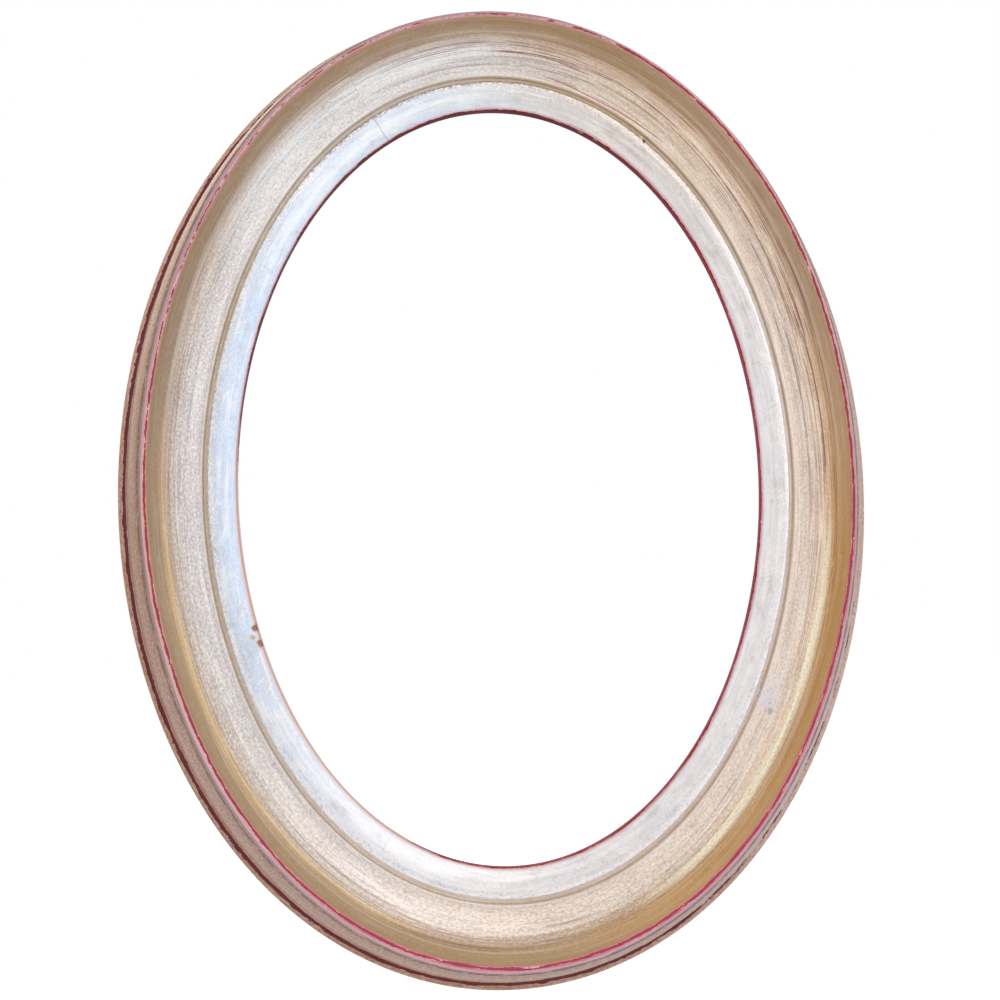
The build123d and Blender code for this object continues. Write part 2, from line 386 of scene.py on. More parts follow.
class Graph:
    """The node tree of a material or a world, with short ways to add and join its nodes."""

    def __init__(self, name: str, world: bool = False) -> None:
        """Start an empty tree.

        Args:
            name: The name of its material or world.
            world: True for a world.
        """
        library = bpy.data.worlds if world else bpy.data.materials
        self.owner = library.new(name)
        self.owner.use_nodes = True
        self.tree = self.owner.node_tree
        self.tree.nodes.clear()

    def add(self, kind: str, **settings: object) -> bpy.types.Node:
        """Add a node and set its properties.

        Args:
            kind: The node's type name without its ShaderNode start.
            settings: Properties of the node by name.

        Returns:
            The new node.
        """
        node = self.tree.nodes.new("ShaderNode" + kind)
        for name, value in settings.items():
            setattr(node, name, value)
        return node

    def coords(self) -> Value:
        """The object's own coordinates."""
        return self.add("TexCoord").outputs["Object"]

    def parts(self, vector: Value) -> list[Value]:
        """The parts of a vector.

        Args:
            vector: The vector.

        Returns:
            Its x, y and z.
        """
        node = self.add("SeparateXYZ")
        self.put(node.inputs[0], vector)
        return list(node.outputs)

    def put(self, socket: bpy.types.NodeSocket, value: Value) -> None:
        """Join a socket to another one, or set it to a plain value.

        Args:
            socket: The socket that takes the value.
            value: Another socket, or a number or colour.
        """
        if isinstance(value, bpy.types.NodeSocket):
            self.tree.links.new(value, socket)
        else:
            socket.default_value = value

    def math(self, operation: str, first: Value, second: Value = 0.0, third: Value = 0.0) -> Value:
        """A sum, product or other operation on numbers.

        Args:
            operation: The operation's name.
            first: Its first socket or number.
            second: Its second one.
            third: Its third one.

        Returns:
            The result.
        """
        node = self.add("Math", operation=operation)
        for socket, value in zip(node.inputs, (first, second, third)):
            self.put(socket, value)
        return node.outputs[0]

    def times(self, *factors: Value) -> Value:
        """Several numbers multiplied.

        Args:
            factors: Two or more sockets or numbers.

        Returns:
            Their product.
        """
        product = factors[0]
        for factor in factors[1:]:
            product = self.math("MULTIPLY", product, factor)
        return product

    def centred(self, noise: Value) -> Value:
        """A noise less a half, so that it swings about zero."""
        return self.math("SUBTRACT", noise, 0.5)

    def between(self, share: Value, low: float, high: float) -> Value:
        """The number at a share of the way from low to high."""
        return self.math("MULTIPLY_ADD", share, high - low, low)

    def smooth(self, value: Value, low: float, high: float) -> Value:
        """A smooth step from 0 at the low value to 1 at the high one.

        Args:
            value: The socket that is stepped.
            low: Where the step starts.
            high: Where it ends; below low, the step falls.

        Returns:
            The step.
        """
        node = self.add("MapRange", interpolation_type="SMOOTHSTEP")
        ends = (low, high, 0.0, 1.0) if low < high else (high, low, 1.0, 0.0)
        for socket, end in zip(node.inputs[1:5], ends):
            socket.default_value = end
        self.put(node.inputs[0], value)
        return node.outputs[0]

    def mix(self, factor: Value, below: Value, above: Value) -> Value:
        """Two colours mixed.

        Args:
            factor: Share of the second one.
            below: The colour below.
            above: The colour above.

        Returns:
            The mixed colour.
        """
        node = self.add("Mix", data_type="RGBA", clamp_result=True)
        self.put(node.inputs["Factor"], factor)
        self.put(node.inputs[6], below)
        self.put(node.inputs[7], above)
        return node.outputs[2]

    def over(self, below: Value, above: Value, *shares: Value) -> Value:
        """A colour laid over another by the product of some shares."""
        return self.mix(self.times(*shares), below, above)

    def ramp(self, value: Value, stops: list[tuple[float, tuple]]) -> Value:
        """A colour for each value, evenly between stops.

        Args:
            value: The socket that is looked up.
            stops: Places from 0 to 1, rising, each with its colour.

        Returns:
            The colour.
        """
        node = self.add("ValToRGB")
        elements = node.color_ramp.elements
        while len(elements) < len(stops):
            elements.new(1.0)
        for element, (place, colour) in zip(elements, stops):
            element.position = place
            element.color = colour
        self.put(node.inputs[0], value)
        return node.outputs[0]

    def scaled(self, vector: Value, size: tuple, shift: float = 0.0) -> Value:
        """A vector stretched by a factor along each axis, then shifted to give a noise another look.

        Args:
            vector: The vector.
            size: Its three factors.
            shift: How far it moves along its first two axes.

        Returns:
            The stretched vector.
        """
        node = self.add("Mapping")
        self.put(node.inputs["Vector"], vector)
        node.inputs["Scale"].default_value = size
        node.inputs["Location"].default_value = (shift, shift, 0.0)
        return node.outputs[0]

    def noise(
        self, vector: Value, scale: float = 1.0, detail: float = 2.0, rough: float = 0.5,
        flat: bool = False,
    ) -> Value:
        """Cloudy noise from 0 to 1, mostly near a half.

        Args:
            vector: Where it is looked up.
            scale: Clouds to a unit.
            detail: How many finer layers it has.
            rough: How strong they are.
            flat: True for a noise over the first two axes alone.

        Returns:
            The noise.
        """
        node = self.add("TexNoise", noise_dimensions="2D" if flat else "3D")
        self.put(node.inputs["Vector"], vector)
        node.inputs["Scale"].default_value = scale
        node.inputs["Detail"].default_value = detail
        node.inputs["Roughness"].default_value = rough
        return node.outputs[0]

    def bump(self, height: Value, strength: float, depth: float, normal: Value | None = None) -> Value:
        """A normal bent by a height.

        Args:
            height: The height.
            strength: Share of the bend that shows.
            depth: The height's size in metres.
            normal: A normal to bend further.

        Returns:
            The bent normal.
        """
        node = self.add("Bump")
        node.inputs["Strength"].default_value = strength
        node.inputs["Distance"].default_value = depth
        self.put(node.inputs["Height"], height)
        if normal is not None:
            self.put(node.inputs["Normal"], normal)
        return node.outputs[0]

    def finish(
        self, colour: Value, roughness: Value, metallic: Value, normal: Value, specular: Value = 0.5,
    ) -> bpy.types.Material:
        """Close the tree with one surface.

        Args:
            colour: Base colour.
            roughness: Roughness.
            metallic: Share of metal.
            normal: Normal.
            specular: How strongly it mirrors at its face.

        Returns:
            The finished material.
        """
        surface = self.add("BsdfPrincipled")
        self.put(surface.inputs["Base Color"], colour)
        self.put(surface.inputs["Roughness"], roughness)
        self.put(surface.inputs["Metallic"], metallic)
        self.put(surface.inputs["Normal"], normal)
        self.put(surface.inputs["Specular IOR Level"], specular)
        self.close("OutputMaterial", surface)
        return self.owner

    def close(self, kind: str, last: bpy.types.Node) -> None:
        """Join the last node to an output of the kind named."""
        self.put(self.add(kind).inputs[0], last.outputs[0])


MEMBER_TONES_WITH_PAINTED_LIGHT = (
    (Member.LIP_WALL, (0.0, linear(116, 30, 52))),
    (Member.SIGHT_EDGE, (0.25, linear(122, 34, 58)), (0.75, linear(216, 172, 178))),
    (Member.BAND, (0.06, linear(230, 226, 224)), (0.35, linear(218, 212, 206)),
        (0.80, linear(208, 200, 194)), (0.93, linear(224, 216, 208)),
        (0.995, linear(214, 196, 182))),
    (Member.QUIRK, (0.25, linear(200, 182, 160)), (0.60, linear(180, 156, 126))),
    # Riser: its pale cream top is a painted highlight along the root of the scoop.
    (Member.RISER, (0.15, linear(176, 152, 122)), (0.60, linear(242, 224, 198))),
    # Scoop: from 0.70 out its steep wall is darker tan, partly its toning and partly painted shade where
    # the wall faces sideways.
    (Member.SCOOP, (0.035, linear(224, 202, 180)), (0.28, linear(230, 204, 178)),
        (0.44, linear(230, 200, 168)), (0.58, linear(212, 178, 146)),
        (0.70, linear(176, 144, 104)), (0.97, linear(172, 138, 98))),
    (Member.RIDGE, (0.10, linear(224, 164, 142)), (0.34, linear(214, 128, 128)),
        (0.60, linear(222, 160, 164)), (0.90, linear(226, 196, 196))),
    (Member.COVE, (0.25, linear(224, 158, 168)), (0.90, linear(176, 142, 142))),
    # Step: its dark brown is painted shade at the foot of the cove.
    (Member.STEP, (0.50, linear(120, 96, 88))),
    (Member.SIDE, (0.06, linear(156, 110, 90)), (0.85, linear(138, 92, 74)),
        (0.97, linear(190, 142, 130))),
    (Member.GROOVE, (0.10, linear(150, 96, 96)), (0.85, linear(200, 150, 132))),
    # Bead: light peach near its top fading to dark brown at the foot, partly leaf tone and partly painted
    # highlight and shade.
    (Member.BEAD, (0.12, linear(226, 176, 150)), (0.95, linear(146, 104, 96))),
)


@dataclass(frozen=True)
class GlazeOrPaintedLight:
    """A thin colour laid over part of the oval and some of its members: a tone of the finish, or a painted
    reflection, highlight or shade.

    Turn is where it lies thickest, in the oval's own degrees from the top. It starts where
    the cosine of the angle from there is start, and is whole where the cosine is full.
    """

    turn: float
    start: float
    full: float
    colour: tuple
    strengths: tuple


# Tones of the finish, and painted reflections, highlights and shade, each marked where it lies.
GLAZES_AND_PAINTED_LIGHT = (
    # Painted reflection: a cool blue sheen on the band and riser at the left, standing in for a window
    # mirrored there.
    GlazeOrPaintedLight(280, -0.15, 0.60, linear(190, 216, 248), (
        (Member.SIGHT_EDGE, (0.40, 0.05)), (Member.BAND, (0.05, 0.80), (0.50, 0.72), (0.90, 0.55)),
        (Member.QUIRK, (0.20, 0.20), (0.60, 0.05)), (Member.RISER, (0.15, 0.05), (0.70, 0.20)),
        (Member.SCOOP, (0.97, 0.0)),
    )),
    # Painted reflection: a cool blue-grey sheen over the scoop at the left, standing in for the sky
    # mirrored there.
    GlazeOrPaintedLight(295, -0.25, 0.60, linear(172, 184, 202), (
        (Member.RISER, (0.50, 0.0)),
        (Member.SCOOP, (0.05, 0.44), (0.34, 0.50), (0.48, 0.28), (0.58, 0.22), (0.70, 0.08),
            (0.97, 0.06)),
        (Member.RIDGE, (0.10, 0.0)),
    )),
    # Painted reflection: a warm golden sheen on the scoop's wall, the quirk and the riser at the lower
    # right, standing in for warm light mirrored there.
    GlazeOrPaintedLight(122, 0.50, 0.95, linear(226, 164, 76), (
        (Member.QUIRK, (0.20, 0.0), (0.60, 0.15)), (Member.RISER, (0.20, 0.15), (0.70, 0.30)),
        (Member.SCOOP, (0.06, 0.05), (0.42, 0.14), (0.68, 0.55), (0.97, 0.50)),
        (Member.RIDGE, (0.10, 0.0)),
    )),
    GlazeOrPaintedLight(250, -0.30, 0.50, linear(208, 136, 62), (
        (Member.STEP, (0.90, 0.0)), (Member.SIDE, (0.06, 0.80), (0.60, 0.80), (0.95, 0.40)),
        (Member.GROOVE, (0.10, 0.0)), (Member.BEAD, (0.20, 0.4), (0.95, 0.20)),
    )),
    GlazeOrPaintedLight(265, 0.0, 0.60, linear(150, 116, 84), (
        (Member.RIDGE, (0.98, 0.0)), (Member.COVE, (0.20, 0.35)), (Member.STEP, (0.50, 0.40)),
        (Member.SIDE, (0.05, 0.0)),
    )),
    # Painted light: lightens the scoop's steep wall at the lower left.
    GlazeOrPaintedLight(205, 0.10, 0.80, linear(222, 186, 136), (
        (Member.SCOOP, (0.58, 0.0), (0.72, 0.25), (0.97, 0.25)), (Member.RIDGE, (0.10, 0.0)),
    )),
    # Painted shade: darkens the band and the scoop at the bottom, where they face up toward the lamps.
    GlazeOrPaintedLight(196, 0.40, 0.95, linear(168, 150, 134), (
        (Member.SIGHT_EDGE, (0.60, 0.0)), (Member.BAND, (0.08, 0.34), (0.60, 0.10), (0.80, 0.0)),
        (Member.SCOOP, (0.12, 0.10), (0.36, 0.42), (0.52, 0.45), (0.64, 0.0)),
    )),
    # Painted shade: a brown darkening of the outer side, the groove and the bead at the lower left, where
    # they face down toward the pale floor.
    GlazeOrPaintedLight(205, 0.0, 0.70, linear(162, 92, 42), (
        (Member.STEP, (0.90, 0.0)), (Member.SIDE, (0.06, 0.70), (0.95, 0.60)),
        (Member.GROOVE, (0.20, 0.3)), (Member.BEAD, (0.40, 0.35), (0.95, 0.35)),
    )),
    # Painted highlight: a golden streak along the scoop at the lower left.
    GlazeOrPaintedLight(236, 0.70, 0.96, linear(255, 216, 148), (
        (Member.SCOOP, (0.52, 0.0), (0.60, 0.60), (0.67, 0.50), (0.76, 0.0)),
    )),
    GlazeOrPaintedLight(62, 0.78, 0.98, linear(212, 182, 156), (
        (Member.SCOOP, (0.62, 0.0), (0.74, 0.50), (0.97, 0.45)), (Member.RIDGE, (0.10, 0.0)),
    )),
    GlazeOrPaintedLight(155, 0.10, 0.80, linear(202, 62, 84), (
        (Member.SCOOP, (0.99, 0.0)), (Member.RIDGE, (0.08, 0.65), (0.60, 0.70), (0.85, 0.25)),
        (Member.COVE, (0.10, 0.0)),
    )),
    # Partly the pale lilac-white of the rubbed arris and band, partly painted light that lifts the quirk's
    # hollow against its shade, toward the lower right.
    GlazeOrPaintedLight(140, -0.35, 0.45, linear(244, 243, 255), (
        (Member.SIGHT_EDGE, (0.80, 0.0)), (Member.BAND, (0.10, 0.42), (0.85, 0.45), (0.99, 1.0)),
        (Member.QUIRK, (0.38, 0.95), (0.62, 0.10)), (Member.RISER, (0.20, 0.05), (0.90, 0.35)),
        (Member.SCOOP, (0.08, 0.15), (0.30, 0.20), (0.46, 0.0)),
    )),
    GlazeOrPaintedLight(335, 0.30, 0.85, linear(172, 134, 152), (
        (Member.SCOOP, (0.98, 0.0)), (Member.RIDGE, (0.15, 0.55), (0.50, 0.75), (0.90, 0.60)),
        (Member.COVE, (0.20, 0.30), (0.80, 0.0)),
    )),
    GlazeOrPaintedLight(165, -0.20, 0.60, linear(190, 172, 200), (
        (Member.RIDGE, (0.60, 0.0), (0.85, 0.5)), (Member.COVE, (0.12, 0.0), (0.90, 0.15)),
        (Member.SIDE, (0.50, 0.08), (0.90, 0.05)),
    )),
    GlazeOrPaintedLight(135, -0.20, 0.60, linear(255, 196, 206), (
        (Member.RIDGE, (0.96, 0.0)), (Member.COVE, (0.25, 0.70), (0.80, 0.35)),
        (Member.STEP, (0.20, 0.0)),
    )),
    GlazeOrPaintedLight(96, 0.50, 0.95, linear(222, 200, 200), (
        (Member.STEP, (0.60, 0.0)), (Member.SIDE, (0.10, 0.36)), (Member.GROOVE, (0.80, 0.50)),
        (Member.BEAD, (0.95, 0.30)),
    )),
    GlazeOrPaintedLight(238, 0.66, 0.92, linear(232, 200, 186), (
        (Member.LIP_WALL, (0.50, 0.80)), (Member.SIGHT_EDGE, (0.70, 0.70)),
        (Member.BAND, (0.05, 0.0)),
    )),
    # Painted highlight: a white streak on the band and the scoop at the upper left.
    GlazeOrPaintedLight(332, 0.80, 0.97, linear(244, 250, 255), (
        (Member.BAND, (0.02, 0.1), (0.35, 0.8), (0.70, 0.2)),
        (Member.SCOOP, (0.16, 0.1), (0.40, 0.85), (0.52, 0.6), (0.68, 0.0)),
    )),
    # Painted highlight: a white streak on the band and the scoop at the lower left.
    GlazeOrPaintedLight(208, 0.86, 0.99, linear(250, 252, 255), (
        (Member.BAND, (0.10, 0.1), (0.40, 0.5), (0.85, 0.2)), (Member.QUIRK, (0.20, 0.0)),
        (Member.SCOOP, (0.10, 0.0), (0.44, 0.25), (0.60, 0.0)),
    )),
    GlazeOrPaintedLight(180, 0.55, 0.97, linear(208, 188, 164), (
        (Member.BAND, (0.98, 0.0)), (Member.QUIRK, (0.26, 0.10), (0.60, 0.45)),
        (Member.RISER, (0.50, 0.75)), (Member.SCOOP, (0.03, 0.0)),
    )),
)


# Painted highlight: a pale gleam along the scoop at the lower right.
PAINTED_HIGHLIGHT = GlazeOrPaintedLight(126, 0.82, 0.97, linear(255, 246, 220), (
    (Member.SCOOP, (0.45, 0.0), (0.52, 1.00), (0.57, 0.95), (0.66, 0.0)),
))


@dataclass(frozen=True)
class Mark:
    """One spot of wear or tone on the moulding.

    Turn is the oval's own angle from the top in degrees, out the distance from the sight
    edge, and reach the spot's radius. Share is how strongly its colour shows, and ragged
    how much its edge wanders.
    """

    turn: float
    out: float
    reach: float
    colour: tuple
    share: float
    ragged: float = 1.6


MARKS = (
    Mark(247.1, 0.0016, 0.0030, linear(150, 98, 74), 0.95),
    Mark(244.6, 0.0012, 0.0034, linear(160, 106, 82), 0.95),
    Mark(245.8, 0.0044, 0.0022, linear(190, 150, 122), 0.8),
    Mark(124.4, 0.0255, 0.0070, linear(216, 217, 232), 0.60, 4.2),
    Mark(122.4, 0.0262, 0.0062, linear(218, 218, 232), 0.42, 4.2),
    Mark(120.6, 0.0262, 0.0050, linear(218, 218, 232), 0.38, 4.2),
    Mark(125.4, 0.0290, 0.0026, linear(160, 142, 138), 0.55, 3.0),
    Mark(124.3, 0.0273, 0.0009, linear(150, 138, 150), 0.7),
    Mark(31.0, 0.0172, 0.0017, linear(72, 60, 58), 0.9),
    Mark(30.2, 0.0178, 0.0016, linear(236, 214, 200), 0.8),
    Mark(313.7, 0.0512, 0.0030, linear(222, 140, 92), 0.7),
    Mark(19.5, 0.0004, 0.0022, linear(190, 160, 156), 0.8),
    Mark(23.0, 0.0006, 0.0016, linear(196, 166, 160), 0.8),
    Mark(98.0, 0.0006, 0.0012, linear(228, 200, 196), 0.8),
)


@dataclass
class LeafFinish:
    """Silver leaf over a red ground, toned with a brown glaze and rubbed through at the edges, with painted
    reflections, highlights and shade laid over it by place round the oval.

    Its pattern reads the boards' UV map, in metres along the sight edge and across the
    section, and their own coordinates where it belongs to a place on the oval.
    """

    oval: SightOval
    section: Section
    glaze: tuple = linear(140, 110, 88)
    line_brown: tuple = linear(126, 86, 70)
    line_red: tuple = linear(122, 56, 70)
    ground_red: tuple = linear(108, 14, 36)
    crimson: tuple = linear(184, 62, 80)
    lip_red: tuple = linear(156, 18, 54)
    magenta: tuple = linear(206, 62, 112)
    purple: tuple = linear(112, 76, 88)
    halo_pink: tuple = linear(232, 196, 186)
    pale_leaf: tuple = linear(252, 247, 240)
    dull_leaf: tuple = linear(186, 184, 186)
    grains: float = 520.0
    fine_lines: float = 820.0
    bold_lines: float = 230.0
    red_line_turn: float = 23.0
    red_line_out: float = 0.0238
    open_joint_turn: float = 334.4
    border: float = 0.6
    glaze_cloud: float = 11.0
    slow_wander: float = 0.0012
    quick_wander: float = 0.0008
    line_wander: float = 0.009
    patchy_wear: float = 0.85
    crumbly_wear: float = 0.45
    relief_share: float = 0.35
    relief_depth: float = 0.00012

    def __post_init__(self) -> None:
        """Start the tree with what the layers share, and the members' tones, some with painted highlight
        and shade.
        """
        self.graph = Graph("leafed_wood")
        self.uv = self.graph.add("UVMap", uv_map="leaf").outputs[0]
        self.coords = self.graph.coords()
        self.way = self.wandering_way()
        self.place = self.graph.math("DIVIDE", self.way, self.section.length)
        self.around = self.direction()
        self.grain = self.stretched(self.grains, 1.5 * self.grains, 0.9, 3.0)
        self.base = self.graph.ramp(self.place, self.section.placed(MEMBER_TONES_WITH_PAINTED_LIGHT))

    def material(self) -> bpy.types.Material:
        """Lay the finish, layer on layer.

        Returns:
            The material.
        """
        cloud = self.graph.noise(self.coords, self.glaze_cloud, 3.0)
        # Glazes, with the painted reflections, highlights and shade among them.
        for glaze in GLAZES_AND_PAINTED_LIGHT:
            self.lay_glaze_or_painted_light(glaze, cloud)
        self.lay_streaks()
        self.lay_grains()
        self.lay_turned_lines()
        self.lay_red_line()
        self.lay_painted_highlight()
        self.lay_hairlines()
        bare = self.lay_wear()
        self.lay_arris_specks()
        self.lay_marks()
        self.lay_joints()
        return self.surface(bare)

    def lay(self, colour: Value, *shares: Value) -> None:
        """Lay a colour over what is there, by the product of some shares."""
        self.base = self.graph.over(self.base, colour, *shares)

    def strength(self, stops: tuple) -> Value:
        """A strength for each place across the section, between stops given by member."""
        shades = [(place, (height, height, height, 1.0)) for place, height in self.section.placed(stops)]
        return self.graph.ramp(self.place, shades)

    def stretched(self, along: float, across: float, shift: float, detail: float = 2.0) -> Value:
        """Noise over the UV map with its own scales along the moulding and across it.

        Args:
            along: Clouds to a metre along the moulding.
            across: Clouds to a metre across it.
            shift: A number of its own, so that no two are alike.
            detail: How many finer layers it has.

        Returns:
            The noise.
        """
        clouds = self.graph.scaled(self.uv, (along, across, 1.0), shift)
        return self.graph.noise(clouds, 1.0, detail, 0.6, flat=True)

    def wandering_way(self) -> Value:
        """The way across the section, shifted by small waves so that no edge is ruled.

        Returns:
            The way in metres.
        """
        graph = self.graph
        across = graph.parts(self.uv)[1]
        slow = graph.centred(self.stretched(22.0, 60.0, 0.3))
        quick = graph.centred(self.stretched(260.0, 420.0, 1.9, 3.0))
        way = graph.math("MULTIPLY_ADD", slow, self.slow_wander, across)
        return graph.math("MULTIPLY_ADD", quick, self.quick_wander, way)

    def direction(self) -> Value:
        """Direction from the oval's middle, after the oval is squeezed to a circle.

        Returns:
            The direction, one long.
        """
        graph = self.graph
        unit = graph.add("VectorMath", operation="NORMALIZE")
        round_oval = (1 / self.oval.half_width, 0.0, 1 / self.oval.half_height)
        graph.put(unit.inputs[0], graph.scaled(self.coords, round_oval))
        return unit.outputs[0]

    def toward(self, turn: float) -> Value:
        """Cosine of the angle between a point's direction and a turn.

        Args:
            turn: The oval's own angle from the top in degrees.

        Returns:
            1 at the turn, -1 across from it.
        """
        dot = self.graph.add("VectorMath", operation="DOT_PRODUCT")
        self.graph.put(dot.inputs[0], self.around)
        angle = math.radians(turn)
        dot.inputs[1].default_value = (math.sin(angle), 0.0, math.cos(angle))
        return dot.outputs["Value"]

    def facing(self, turn: float, start: float, full: float) -> Value:
        """A share of 0 where the cosine toward a turn is start, and 1 where it is full."""
        return self.graph.smooth(self.toward(turn), start, full)

    def lay_glaze_or_painted_light(self, glaze: GlazeOrPaintedLight, cloud: Value, *shares: Value) -> None:
        """Lay one glaze or one layer of painted light or shade, its border moved by a cloud.

        Args:
            glaze: The glaze or layer of painted light or shade.
            cloud: A noise about a half.
            shares: More shares that its strength is multiplied by.
        """
        graph = self.graph
        soft = self.border * (glaze.full - glaze.start)
        near = graph.math("MULTIPLY_ADD", cloud, soft, self.toward(glaze.turn))
        share = graph.smooth(graph.math("SUBTRACT", near, 0.5 * soft), glaze.start, glaze.full)
        self.lay(glaze.colour, share, self.strength(glaze.strengths), *shares)

    def lay_streaks(self) -> None:
        """Pale and dull streaks along the band and the scoop, as wide as the burnisher's stroke."""
        graph = self.graph
        where = self.strength((
            (Member.SIGHT_EDGE, (0.90, 0.0)), (Member.BAND, (0.06, 0.7), (0.95, 0.7)),
            (Member.QUIRK, (0.30, 0.10)), (Member.RISER, (0.90, 0.3)),
            (Member.SCOOP, (0.10, 0.5), (0.50, 0.45), (0.66, 0.12), (0.97, 0.10)),
            (Member.RIDGE, (0.10, 0.0)), (Member.SIDE, (0.20, 0.25)), (Member.BEAD, (0.20, 0.3)),
        ))
        stroke = self.stretched(26.0, 340.0, 2.7, 3.0)
        self.lay(self.pale_leaf, graph.smooth(stroke, 0.52, 0.70), where, 0.70)
        self.lay(self.dull_leaf, graph.smooth(stroke, 0.48, 0.28), where, 0.50)
        patch = self.stretched(75.0, 110.0, 6.1, 4.0)
        self.lay(self.pale_leaf, graph.smooth(patch, 0.52, 0.75), where, 0.35)
        self.lay(self.glaze, graph.smooth(patch, 0.46, 0.25), where, 0.30)

    def lay_grains(self) -> None:
        """Light and dark grains of the broken leaf, coarse in the scoop and faint on the wall."""
        graph = self.graph
        where = self.strength((
            (Member.SIGHT_EDGE, (0.90, 0.1)),
            (Member.BAND, (0.10, 0.22), (0.70, 0.28), (0.90, 0.70)), (Member.QUIRK, (0.20, 0.15)),
            (Member.RISER, (0.90, 0.4)),
            (Member.SCOOP, (0.08, 0.80), (0.46, 0.75), (0.60, 0.40), (0.72, 0.14), (0.95, 0.08)),
            (Member.RIDGE, (0.30, 0.0)), (Member.COVE, (0.50, 0.15)),
            (Member.SIDE, (0.05, 0.30), (0.10, 1.0), (0.92, 1.0)), (Member.GROOVE, (0.20, 0.0)),
            (Member.BEAD, (0.10, 0.8)),
        ))
        where = graph.times(where, graph.between(self.facing(48.0, 0.0, 0.9), 1.0, 0.65))
        fleck = self.stretched(650.0, 900.0, 4.4, 2.0)
        outer = self.strength((
            (Member.RIDGE, (0.90, 0.0)), (Member.SIDE, (0.10, 1.0)), (Member.BEAD, (0.90, 1.0)),
        ))
        light, dark = graph.smooth(self.grain, 0.50, 0.64), graph.smooth(self.grain, 0.49, 0.33)
        self.lay(self.pale_leaf, light, where, graph.between(outer, 0.55, 0.22))
        self.lay(self.glaze, dark, where, graph.between(outer, 0.34, 0.64))
        self.lay(self.pale_leaf, graph.smooth(fleck, 0.57, 0.68), where, 0.5)

    def lay_turned_lines(self) -> None:
        """Fine lines of the turning tool: level lines of noises drawn out along the moulding."""
        graph = self.graph
        where = self.strength((
            (Member.BAND, (0.05, 0.08), (0.90, 0.10)), (Member.QUIRK, (0.50, 0.10)),
            (Member.SCOOP, (0.02, 0.30), (0.20, 0.50), (0.42, 0.90), (0.68, 1.00), (0.78, 0.45),
                (0.97, 0.20)),
            (Member.COVE, (0.50, 0.3)), (Member.SIDE, (0.50, 0.25)),
        ))
        side = graph.between(self.facing(40.0, 0.2, 0.95), 0.40, 1.0)
        broken = graph.smooth(self.stretched(30.0, 500.0, 7.7, 3.0), 0.36, 0.54)
        shades = (
            (self.fine_lines, 4.0, 0.070, self.line_brown, 0.95),
            (self.bold_lines, 2.5, 0.022, self.line_red, 0.9),
        )
        for number, (across, along, half, colour, share) in enumerate(shades):
            level = graph.centred(self.stretched(along, across, 3.1 + 5.3 * number, 1.0))
            line = graph.smooth(graph.math("ABSOLUTE", level), half, 0.35 * half)
            self.lay(colour, line, broken, where, side, share)
        tone = self.stretched(3.0, 260.0, 9.9, 3.0)
        self.lay(self.glaze, graph.smooth(tone, 0.53, 0.70), where, 0.30)
        self.lay(self.pale_leaf, graph.smooth(tone, 0.46, 0.30), where, 0.25)

    def lay_painted_highlight(self) -> None:
        """A painted highlight: the pale gleam at the lower right of the scoop, broken by fine dull streaks
        and grains.
        """
        graph = self.graph
        streak = graph.smooth(self.stretched(14.0, 600.0, 19.7, 2.0), 0.32, 0.54)
        grains = graph.smooth(self.grain, 0.36, 0.52)
        cloud = self.stretched(14.0, 150.0, 17.3, 3.0)
        self.lay_glaze_or_painted_light(PAINTED_HIGHLIGHT, cloud, graph.between(streak, 0.65, 1.0), graph.between(grains, 0.65, 1.0))

    def lay_red_line(self) -> None:
        """One stronger line in the scoop near the top, dark red with pink beside it."""
        graph = self.graph
        wander = graph.centred(self.stretched(14.0, 1.0, 12.3, 1.0))
        line_way = self.section.front_point(self.red_line_out)[1]
        middle = graph.math("MULTIPLY_ADD", wander, self.line_wander, line_way)
        away = graph.math("ABSOLUTE", graph.math("SUBTRACT", self.way, middle))
        here = self.facing(self.red_line_turn, 0.970, 0.985)
        self.lay(self.halo_pink, graph.smooth(away, 0.0011, 0.0005), here, 0.55)
        self.lay(self.line_red, graph.smooth(away, 0.00055, 0.0002), here, 0.8)

    def lay_hairlines(self) -> None:
        """Fine straight hairlines across the moulding and aslant, in patches.

        They are level lines of noises drawn out along a direction: the map's first axis is
        shifted by its second times a slope, so a cloud's long side lies aslant.
        """
        graph = self.graph
        where = self.strength((
            (Member.SIGHT_EDGE, (0.90, 0.0)), (Member.BAND, (0.08, 0.9), (0.90, 0.9), (0.97, 0.2)),
            (Member.RISER, (0.90, 0.1)),
            (Member.SCOOP, (0.10, 0.5), (0.50, 0.35), (0.70, 0.12), (0.95, 0.12)),
            (Member.RIDGE, (0.10, 0.0)),
        ))
        along_edge, across, _ = graph.parts(self.uv)
        for slope, along, shift in ((0.6, 330.0, 2.3), (-0.9, 260.0, 9.1), (2.2, 170.0, 15.7)):
            slant = graph.add("CombineXYZ")
            graph.put(slant.inputs[0], graph.math("MULTIPLY_ADD", across, slope, along_edge))
            graph.put(slant.inputs[1], across)
            clouds = graph.scaled(slant.outputs[0], (along, 42.0, 1.0), shift)
            level = graph.centred(graph.noise(clouds, 1.0, 1.0, 0.5, flat=True))
            shown = graph.smooth(self.stretched(70.0, 110.0, 4 * shift), 0.48, 0.60)
            hair = graph.smooth(graph.math("ABSOLUTE", level), 0.034, 0.006)
            self.lay(self.pale_leaf, hair, shown, where, 0.40)

